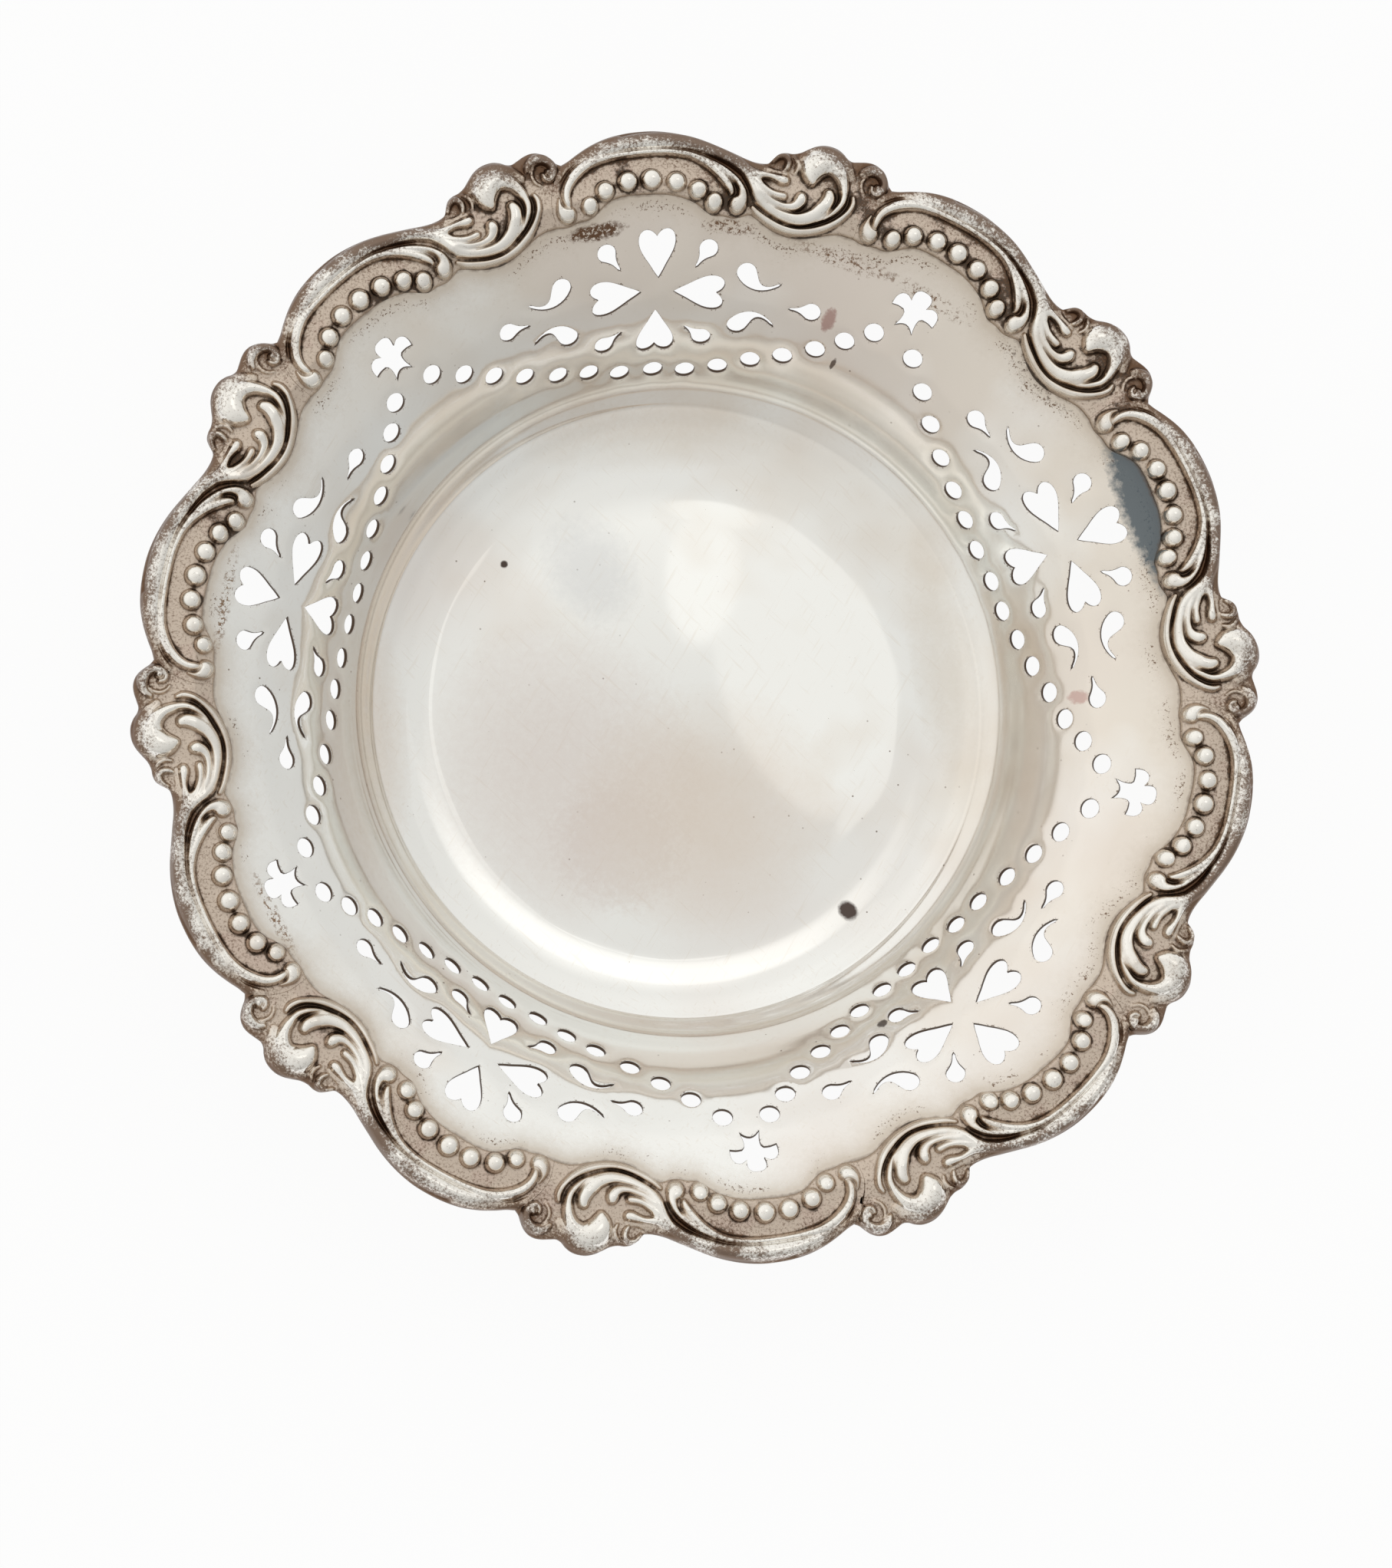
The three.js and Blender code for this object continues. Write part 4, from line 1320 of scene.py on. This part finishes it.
@dataclass(frozen=True)
class SilverFinish:
    """A silver surface: bright metal under layers of other colours."""

    bright: str
    roughness: float

    def build(self, name: str) -> bpy.types.Material:
        """Makes the material.

        Args:
            name: the material's name.

        Returns:
            The material.
        """
        material = bpy.data.materials.new(name)
        add = emptied(material)
        layers, rough, normal = self._surface(add, add("ShaderNodeTexCoord")["Object"])
        colour = linear(self.bright)
        for factor, shade in layers:
            colour = add("ShaderNodeMix", {"Factor": factor, "A": colour, "B": linear(shade)},
                         data_type="RGBA")["Result"]
        shader = add("ShaderNodeBsdfPrincipled", {"Base Color": colour, "Metallic": 1.0, "Roughness": rough,
                                                  "Normal": normal})[0]
        add("ShaderNodeOutputMaterial", {"Surface": shader})
        return material

    def _surface(self, add: Adder, place: Socket) -> tuple[Layers, Socket, Socket]:
        """What lies on the metal, how rough it is and how it is dented.

        Args:
            add: adds a node to the material.
            place: the point's place in the object, in metres.

        Returns:
            The layers, lowest first, each with how much it covers, then the roughness and the normal.
        """
        raise NotImplementedError


@dataclass(frozen=True)
class Stain:
    """One mark on the bowl: its place, its reach round and outwards, its colour, how dense and how
    ragged it is, how wide its edge is, and how far it is broken into crumbs."""

    turn: float
    radius: float
    reach: Pair
    colour: str
    density: float = 0.8
    ragged: float = 0.5
    edge: float = 0.4
    crumbs: float = 0.0


@dataclass(frozen=True)
class PolishedSterlingSheet(SilverFinish):
    """Sterling silver sheet, raised and polished, then handled: fine hairlines, a warm haze, brown pits, a
    few sulphide stains, a dull pitted band where the border is soldered on, and a dark line along the
    border's edge that is the solder joint and painted shadow."""

    bright: str = "F1F1EE"
    haze: str = "E2D9CD"
    blush: str = "E0D3CB"
    band: str = "CDC1B2"
    pit_and_shadow: str = "5E4632"
    scale: str = "664930"
    cut_metal: str = "57483C"
    roughness: float = 0.02
    haze_roughness: float = 0.02
    hairline_roughness: float = 0.008
    wall_roughness: float = 0.08
    band_roughness: float = 0.4
    tear: float = 3.0
    crumb_level: Pair = (0.3, 0.3)
    crumb_edge: float = 0.04
    stains: tuple[Stain, ...] = (
        # Broad tinted patches on the floor, in the cove and low on the wall
        Stain(-117, 17.9, (15, 14), "DACEC7", 0.55, 0.5, 1.0),
        Stain(-156.6, 20.2, (8.4, 7.6), "D8CCC5", 0.3, 0.6, 0.5),
        Stain(-32, 22.5, (5, 6.5), "D2D3D4", 0.45, 0.6, 0.8),
        Stain(165, 14, (13, 12), "DFD2C4", 0.6, 0.4, 1.2),
        Stain(80, 37.5, (14, 3.5), "D6CCBE", 0.45, 0.5, 1.0),
        Stain(-4, 37.5, (15, 3.5), "D8CDBE", 0.3, 0.5, 1.0),
        Stain(-95, 43.5, (15, 5), "DACABA", 0.5, 0.5, 1.0),
        Stain(-8, 43.5, (15, 5), "DDCFC1", 0.4, 0.5, 1.0),
        # Dark and pink spots
        Stain(-50.6, 30.8, (0.5, 0.5), "3A2A22", 0.95, 0.5),
        Stain(138.9, 35.6, (1.15, 1.35), "3B2B24", 0.95, 0.35),
        Stain(19.1, 54.2, (0.9, 1.3), "A8847C", 0.8, 0.9),
        Stain(22.5, 49.9, (0.3, 0.6), "4A3830", 0.85, 0.9),
        Stain(88.6, 52.1, (0.9, 1.1), "C09C94", 0.7, 0.9),
        Stain(149.0, 49.7, (0.7, 0.4), "3C2E26", 0.85, 1.0),
        # Brown scale beside the border
        Stain(-13.3, 62.6, (3.6, 1.0), "5C3D24", 0.95, 1.0, 0.5, 0.42),
        Stain(3.1, 62.4, (3.2, 0.8), "6B4B30", 0.9, 1.0, 0.5, 0.7),
        Stain(18.0, 61.4, (6.5, 0.9), "6E4B2B", 0.9, 1.0, 0.8, 0.75),
        Stain(30.0, 61.6, (5.0, 0.9), "6E4B2B", 0.9, 1.0, 0.8, 0.8),
        Stain(46.0, 62.6, (6.0, 1.4), "4E392A", 0.9, 1.0, 0.8, 0.85),
        Stain(-80, 63.6, (6, 0.7), "7D5A36", 0.9, 1.0, 0.8, 0.7),
        Stain(-118, 63.4, (5.5, 0.7), "7D5A36", 0.9, 1.0, 0.8, 0.7),
        # The blue-grey sulphide patch
        Stain(67.5, 65.4, (13.5, 3.4), "58636A", 0.92, 0.5, 0.4),
    )

    def _surface(self, add: Adder, place: Socket) -> tuple[Layers, Socket, Socket]:
        """The layers, the roughness and the normal of the bowl.

        Args:
            add: adds a node to the material.
            place: the point's place in the object, in metres.

        Returns:
            The layers, lowest first, each with how much it covers, then the roughness and the normal.
        """
        band, lip, cut = (add("ShaderNodeAttribute", attribute_name=key)["Fac"]
                          for key in ("solder", "lip", "cut"))
        # Wavelengths in millimetres: haze 30, blush 45, clouds 22 and 7, wear 0.9, crumbs 0.6, specks 0.36
        drift, flush, cloud, patch, grain, crumb, speck = (
            add("ShaderNodeTexNoise", {"Vector": place, "Scale": 1 / (length * MM), "Detail": detail,
                                       "Roughness": coarse})["Fac"]
            for length, detail, coarse in (
                (30, 3, 0.6), (45, 2, 0.5), (22, 2, 0.5), (7, 2, 0.5), (0.9, 4, 0.7), (0.6, 4, 0.8),
                (0.36, 3, 0.75))
        )
        # Hairlines 0.2 mm apart, two ways, drawn coarser than real ones so that they show
        hairlines = 0.0
        for angle in (0.75, 2.1):
            turned = add("ShaderNodeMapping", {"Vector": place, "Rotation": (0, 0, angle)})[0]
            drawn = add("ShaderNodeVectorMath", {0: turned, 1: (0.07, 1, 1)}, operation="MULTIPLY")[0]
            lines = add("ShaderNodeTexNoise", {"Vector": drawn, "Scale": 1 / (0.4 * MM), "Detail": 2})["Fac"]
            hairlines = add("ShaderNodeMath", {0: lines, 1: hairlines}, operation="MAXIMUM")[0]
        # Pits 0.2 mm across and a few millimetres apart, drawn a little larger than real ones
        cells = add("ShaderNodeTexVoronoi", {"Vector": place, "Scale": 1 / (2.2 * MM)})
        side = add("ShaderNodeVectorMath", {0: place, 1: (0.65, 0.75, 0)}, operation="DOT_PRODUCT")["Value"]
        flat = add("ShaderNodeVectorMath", {0: place, 1: (1, 1, 0)}, operation="MULTIPLY")[0]
        radius = add("ShaderNodeVectorMath", {0: flat}, operation="LENGTH")["Value"]
        # The floor is rubbed brightest, and the haze thickens outwards up the wall
        wall, outer = (
            add("ShaderNodeMapRange", {"Value": radius, "From Min": start * MM, "From Max": end * MM,
                                       "To Max": most})[0]
            for start, end, most in ((34, 44, 1), (45, 62, 0.17))
        )
        drift = add("ShaderNodeMath", {0: outer, 1: drift}, operation="ADD")[0]
        hazy, crusted, fouled, edged = (
            add("ShaderNodeMath", {0: value, 1: share, 2: base}, operation="MULTIPLY_ADD")[0]
            for value, share, base in (
                (side, 3.2, drift), (grain, 0.35, band), (side, 1.3, patch), (lip, 0.32, speck))
        )
        haze, blush, dirty, round_pit, few, worn, joint_and_shadow, foul, rise, fall, grimy, scratch = (
            add("ShaderNodeMapRange", {"Value": value, "From Min": start, "From Max": end,
                                       "To Max": most})[0]
            for value, start, end, most in (
                (hazy, 0.55, 0.8, 0.85), (flush, 0.52, 0.7, 0.4), (cloud, 0.42, 0.6, 0.8),
                (cells["Distance"], 0.075, 0.04, 1), (cells["Color"], 0.5, 0.54, 1),
                (crusted, 0.25, 0.9, 0.75), (crusted, 1.0, 1.25, 0.75), (fouled, 0.42, 0.58, 1),
                (crusted, 0.28, 0.6, 1), (crusted, 1.1, 0.7, 1), (edged, 0.8, 0.86, 0.85),
                (hairlines, 0.62, 0.74, 0.28))
        )
        # Scale gathers 2 mm inside the border, where the flux ran out from under it
        pits, gathered = (
            add("ShaderNodeMath", {0: first, 1: second}, operation="MULTIPLY")[0]
            for first, second in ((dirty, round_pit), (rise, fall))
        )
        pits, gathered = (
            add("ShaderNodeMath", {0: first, 1: second}, operation="MULTIPLY")[0]
            for first, second in ((pits, few), (gathered, foul))
        )
        strewn = add("ShaderNodeMath", {0: gathered, 1: 0.17, 2: speck}, operation="MULTIPLY_ADD")[0]
        crust = add("ShaderNodeMapRange", {"Value": strewn, "From Min": 0.72, "From Max": 0.77,
                                           "To Max": 0.9})[0]
        layers = [(haze, self.haze), (blush, self.blush), (scratch, self.haze), (pits, self.pit_and_shadow),
                  (worn, self.band), (crust, self.scale)]
        layers += [(self._mark(add, place, grain, crumb, stain), stain.colour) for stain in self.stains]
        # A dark line along the border's edge: the solder joint, and painted shadow of the border's edge
        layers += [(joint_and_shadow, self.pit_and_shadow), (grimy, self.pit_and_shadow), (cut, self.cut_metal)]
        dull = add("ShaderNodeMath", {0: worn, 1: cut}, operation="MAXIMUM")[0]
        rough = self.roughness
        for factor, share in ((haze, self.haze_roughness), (dull, self.band_roughness),
                              (hairlines, self.hairline_roughness), (wall, self.wall_roughness)):
            rough = add("ShaderNodeMath", {0: factor, 1: share, 2: rough}, operation="MULTIPLY_ADD")[0]
        bump = add("ShaderNodeBump", {"Height": worn, "Strength": 0.3, "Distance": 0.06 * MM})[0]
        return layers, rough, bump

    def _mark(self, add: Adder, place: Socket, grain: Socket, crumb: Socket, stain: Stain) -> Socket:
        """Where a stain lies: an oval round its place, its edge torn by the grain, cut into crumbs.

        Args:
            add: adds a node to the material.
            place: the point's place in the object, in metres.
            grain: the noise that tears its edge.
            crumb: the finer noise that breaks it into crumbs.
            stain: the mark.

        Returns:
            How much the mark covers.
        """
        turn = math.radians(stain.turn)
        middle = (stain.radius * MM * math.sin(turn), stain.radius * MM * math.cos(turn))
        spread = oval_spread(add, place, middle, turn, (stain.reach[0] * MM, stain.reach[1] * MM))
        tear = self.tear * stain.ragged
        torn = add("ShaderNodeMath", {0: grain, 1: tear, 2: spread}, operation="MULTIPLY_ADD")[0]
        rim = 1 + tear / 2
        mark = add("ShaderNodeMapRange", {"Value": torn, "From Min": rim + stain.edge,
                                          "From Max": rim - stain.edge, "To Max": stain.density})[0]
        if not stain.crumbs:
            return mark
        # The more a mark is broken, the higher the level that the noise has to reach
        level, rise = self.crumb_level
        start = level + rise * stain.crumbs
        broken = add("ShaderNodeMapRange", {"Value": crumb, "From Min": start,
                                            "From Max": start + self.crumb_edge})[0]
        return add("ShaderNodeMath", {0: mark, 1: broken}, operation="MULTIPLY")[0]


@dataclass(frozen=True)
class StruckSterling(SilverFinish):
    """Die-struck sterling silver: soft and bright on the high parts, dulled below them by old polish and
    painted shade on the slopes, with brown sulphide tarnish on its ground, tarnish and painted shade near
    black in the grooves, and speckled on the outer edge."""

    bright: str = "F1EEE8"
    polish_and_slope_shade: str = "CCBDAD"
    ground: str = "CDBEAF"
    flush: str = "CAB6A9"
    crevice_tarnish_and_shade: str = "73604F"
    black: str = "372C23"
    speckle: str = "6B5240"
    roughness: float = 0.11
    tarnish_roughness: float = 0.3

    def _surface(self, add: Adder, place: Socket) -> tuple[Layers, Socket, Socket]:
        """The layers, the roughness and the normal of the border.

        Args:
            add: adds a node to the material.
            place: the point's place in the object, in metres.

        Returns:
            The layers, lowest first, each with how much it covers, then the roughness and the normal.
        """
        raised, recess, rim = (add("ShaderNodeAttribute", attribute_name=key)["Fac"]
                               for key in ("raised", "recess", "rim"))
        # Wavelengths in millimetres: clouds of dirt 6, the film of polish and slope shade 6, tarnish 0.8,
        # specks 0.35
        cloud, wisp, grain, speck = (
            add("ShaderNodeTexNoise", {"Vector": place, "Scale": 1 / (length * MM), "Detail": detail,
                                       "Roughness": coarse})["Fac"]
            for length, detail, coarse in ((6, 3, 0.6), (6, 4, 0.65), (0.8, 4, 0.7), (0.35, 3, 0.75))
        )
        # The upper and right edge of the dish has been cleaned least
        side = add("ShaderNodeVectorMath", {0: place, 1: (0.45, 0.9, 0)}, operation="DOT_PRODUCT")["Value"]
        cloud = add("ShaderNodeMath", {0: side, 1: cloud}, operation="ADD")[0]
        soot = cloud
        for value, share in ((cloud, 0.6), (grain, 0.8), (recess, 0.7)):
            soot = add("ShaderNodeMath", {0: value, 1: share, 2: soot}, operation="MULTIPLY_ADD")[0]
        low, dirty, pink, sooty = (
            add("ShaderNodeMapRange", {"Value": value, "From Min": start, "From Max": end,
                                       "To Max": most})[0]
            for value, start, end, most in (
                (raised, 0.42, 0.02, 1), (cloud, 0.4, 0.64, 1), (wisp, 0.5, 0.62, 0.7),
                (soot, 1.5, 1.8, 0.95))
        )
        # Hollows take the crevice colour: tarnish, and painted shade round the foot of every form
        settled = add("ShaderNodeMath", {0: dirty, 1: 0.75, 2: 0.55}, operation="MULTIPLY_ADD")[0]
        settled, flaked, caked = (
            add("ShaderNodeMath", {0: value, 1: other}, operation="MULTIPLY")[0]
            for value, other in ((settled, recess), (settled, rim), (sooty, low))
        )
        flaked = add("ShaderNodeMath", {0: low, 1: 0.16, 2: flaked}, operation="MULTIPLY_ADD")[0]
        # Below the tops lies a grey-brown film: old polish, and painted shade that darkens the slopes
        polish_and_slope_shade_level, grounded, sunk, flecked = (
            add("ShaderNodeMath", {0: value, 1: share, 2: base}, operation="MULTIPLY_ADD")[0]
            for value, share, base in (
                (raised, -0.75, wisp), (grain, 0.6, low), (grain, 0.5, settled), (flaked, 0.55, speck))
        )
        polish_and_slope_shade, ground, deep, fleck, cake = (
            add("ShaderNodeMapRange", {"Value": value, "From Min": start, "From Max": end,
                                       "To Max": most})[0]
            for value, start, end, most in (
                (polish_and_slope_shade_level, -0.22, 0.2, 0.9), (grounded, 0.45, 1.2, 0.95), (sunk, 0.46, 1.05, 0.85),
                (flecked, 0.62, 0.84, 0.9), (caked, 0.1, 0.6, 0.9))
        )
        pinkish = add("ShaderNodeMath", {0: pink, 1: ground}, operation="MULTIPLY")[0]
        layers = [(polish_and_slope_shade, self.polish_and_slope_shade), (ground, self.ground), (pinkish, self.flush), (deep, self.crevice_tarnish_and_shade),
                  (cake, self.black), (fleck, self.speckle)]
        dull = deep
        for factor in (ground, fleck):
            dull = add("ShaderNodeMath", {0: dull, 1: factor}, operation="MAXIMUM")[0]
        rough = add("ShaderNodeMath", {0: dull, 1: self.tarnish_roughness, 2: self.roughness},
                    operation="MULTIPLY_ADD")[0]
        bump = add("ShaderNodeBump", {"Height": grain, "Strength": 0.25, "Distance": 0.05 * MM})[0]
        return layers, rough, bump


@dataclass(frozen=True)
class CeilingPanel:
    """An oval part of the ceiling that shines: the direction of its middle, its half axes, the bearing
    of the second one, by how much it is brighter than the room, and how soft its edge is."""

    middle: Pair
    reach: Pair
    bearing: float
    gain: float
    edge: float = 0.1


@dataclass(frozen=True)
class Softbox:
    """A rectangular lamp: its name, its place and size in metres, and how bright its face is."""

    name: str
    place: tuple[float, float, float]
    size: Pair
    radiance: float

    def hang(self) -> None:
        """Adds the lamp, turned to the dish."""
        data = bpy.data.lights.new(self.name, "AREA")
        data.shape = "RECTANGLE"
        data.size, data.size_y = self.size
        data.energy = self.radiance * math.pi * self.size[0] * self.size[1]
        lamp = linked(self.name, data)
        lamp.location = self.place
        lamp.rotation_euler = Vector(self.place).to_track_quat("Z", "Y").to_euler()


@dataclass(frozen=True)
class Studio:
    """A white floor, a pale room, soft lamps and the camera that sees the dish as the photograph does."""

    focus_height: float = 25.4
    scale: float = 9.9986
    middle: Pair = (922.8, 901.2)
    tilt: float = math.radians(11.5)
    bearing: float = math.radians(236)
    distance: float = 600.0
    sensor: float = 36.0
    floor_half: float = 4.0
    floor_drop: float = 0.02
    floor_glow: float = 0.91
    paper: str = "F4F4F4"
    room_colour: str = "FFFEFB"
    room_level: float = 0.86
    room_slope: float = 0.24
    bright_bearing: float = math.radians(320)
    panels: tuple[CeilingPanel, ...] = (
        CeilingPanel((0.185, 0.1143), (0.0168, 0.0329), math.radians(157.6), 0.12),
        CeilingPanel((0.1638, 0.1374), (0.0085, 0.0164), math.radians(184.8), 0.21, 0.3),
        CeilingPanel((0.2, 0.3), (0.2, 0.15), 0.0, 0.31, 0.9),
    )
    sill_heights: Pair = (0.38, 0.46)
    below_sill: float = 0.95
    softboxes: tuple[Softbox, ...] = (
        Softbox("key_softbox", (0.35, 0.75, 0.9), (1.0, 1.2), 0.03),
        Softbox("fill_softbox", (-0.8, 0.2, 0.7), (0.9, 0.9), 0.02),
    )

    def place_camera(self) -> None:
        """Sets the camera.

        It stands off the axis by the tilt, on the side that the bearing gives, and is aimed past the
        dish by as much as the photograph's framing is off the dish's middle.
        """
        data = bpy.data.cameras.new("camera")
        data.sensor_width = self.sensor
        data.lens = self.scale * self.distance / PHOTO_HEIGHT * self.sensor
        data.clip_start = 0.01
        data.clip_end = 20
        camera = linked("camera", data)
        target = Vector((0, 0, self.focus_height))
        off = math.sin(self.tilt)
        back = Vector((off * math.sin(self.bearing), off * math.cos(self.bearing), math.cos(self.tilt)))
        upwards = (Vector((0, 1, 0)) - back * back.y).normalized()
        right = upwards.cross(back)
        place = target + back * self.distance
        aim = target + right * (PHOTO_WIDTH / 2 - self.middle[0]) / self.scale
        aim -= upwards * (PHOTO_HEIGHT / 2 - self.middle[1]) / self.scale
        view = (place - aim).normalized()
        up = (upwards - view * view.dot(upwards)).normalized()
        matrix = Matrix((up.cross(view), up, view)).transposed().to_4x4()
        matrix.translation = place * MM
        camera.matrix_world = matrix
        bpy.context.scene.camera = camera

    def lay_floor(self) -> None:
        """Lays a white floor that looks white to the camera and keeps the dish's shadow."""
        mesh = bpy.data.meshes.new("studio_floor")
        half, drop = self.floor_half, -self.floor_drop * MM
        corners = [(-half, -half, drop), (half, -half, drop), (half, half, drop), (-half, half, drop)]
        mesh.from_pydata(corners, [], [(0, 1, 2, 3)])
        floor = linked("studio_floor", mesh)
        material = bpy.data.materials.new("white_paper")
        add = emptied(material)
        path = add("ShaderNodeLightPath")
        seen = 0.0
        for ray in ("Is Camera Ray", "Is Glossy Ray", "Is Transmission Ray"):
            seen = add("ShaderNodeMath", {0: path[ray], 1: seen}, operation="MAXIMUM")[0]
        share = add("ShaderNodeMath", {0: seen, 1: self.floor_glow}, operation="MULTIPLY")[0]
        paper = add("ShaderNodeBsdfDiffuse", {"Color": linear(self.paper)})[0]
        glow = add("ShaderNodeEmission", {"Color": linear(WHITE), "Strength": 1.0})[0]
        both = add("ShaderNodeMixShader", {0: share, 1: paper, 2: glow})[0]
        add("ShaderNodeOutputMaterial", {"Surface": both})
        mesh.materials.append(material)

    def light(self) -> None:
        """Lights the dish: a pale room, brighter towards one side, and two large soft lamps."""
        world = bpy.data.worlds.new("white_room")
        bpy.context.scene.world = world
        add = emptied(world)
        strength = self._room_strength(add, add("ShaderNodeTexCoord")["Generated"])
        room = add("ShaderNodeBackground", {"Color": linear(self.room_colour), "Strength": strength})[0]
        white = add("ShaderNodeBackground", {"Color": linear(WHITE), "Strength": 1.0})[0]
        path = add("ShaderNodeLightPath")
        both = add("ShaderNodeMixShader", {0: path["Is Camera Ray"], 1: room, 2: white})[0]
        add("ShaderNodeOutputWorld", {"Surface": both})
        for softbox in self.softboxes:
            softbox.hang()

    def _room_strength(self, add: Adder, way: Socket) -> Socket:
        """How bright the room is in each direction.

        It rises evenly from the dim side to the bright side, with oval panels in its ceiling, and the
        walls are a little dimmer below the sill.

        Args:
            add: adds a node to the world.
            way: the direction.

        Returns:
            The strength of the room's light.
        """
        height, side = (
            add("ShaderNodeVectorMath", {0: way, 1: direction}, operation="DOT_PRODUCT")["Value"]
            for direction in ((0, 0, 1), (math.sin(self.bright_bearing), math.cos(self.bright_bearing), 0))
        )
        shine = 0.0
        for panel in self.panels:
            spread = oval_spread(add, way, panel.middle, panel.bearing, panel.reach)
            glow = add("ShaderNodeMapRange", {"Value": spread, "From Min": 1 + panel.edge,
                                              "From Max": 1 - panel.edge, "To Max": panel.gain},
                       interpolation_type="SMOOTHSTEP")[0]
            shine = add("ShaderNodeMath", {0: glow, 1: shine}, operation="MAXIMUM")[0]
        low, high = self.sill_heights
        sill = add("ShaderNodeMapRange", {"Value": height, "From Min": low, "From Max": high,
                                          "To Min": self.below_sill}, interpolation_type="SMOOTHSTEP")[0]
        level = add("ShaderNodeMath", {0: side, 1: self.room_slope, 2: self.room_level},
                    operation="MULTIPLY_ADD")[0]
        level = add("ShaderNodeMath", {0: level, 1: shine}, operation="ADD")[0]
        return add("ShaderNodeMath", {0: level, 1: sill}, operation="MULTIPLY")[0]


def main() -> None:
    """Builds the studio and the dish, and reports each piece."""
    logging.basicConfig(level=logging.INFO, format="%(name)s: %(message)s")
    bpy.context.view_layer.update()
    bpy.context.scene.view_settings.view_transform = "Standard"
    studio = Studio()
    studio.place_camera()
    studio.lay_floor()
    studio.light()

    sheet = RaisedSheet()
    border = StruckBorder(sheet)
    bowl = PiercedBowl(sheet, border.inner_edge).build()
    bowl.data.materials.append(PolishedSterlingSheet().build("sterling_sheet_polished"))
    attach(bowl, BODY)
    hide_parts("bowl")
    log.info("pierced bowl: %d corners, %d faces", len(bowl.data.vertices), len(bowl.data.polygons))

    struck = StruckSterling().build("sterling_die_struck")
    for index in range(border.count):
        unit = border.build_unit(index)
        unit.data.materials.append(struck)
        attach(unit, BODY)
        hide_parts(f"border_section_{index + 1:02d}")
        log.info("border unit %d: %d corners", index + 1, len(unit.data.vertices))


if __name__ == "__main__":
    main()
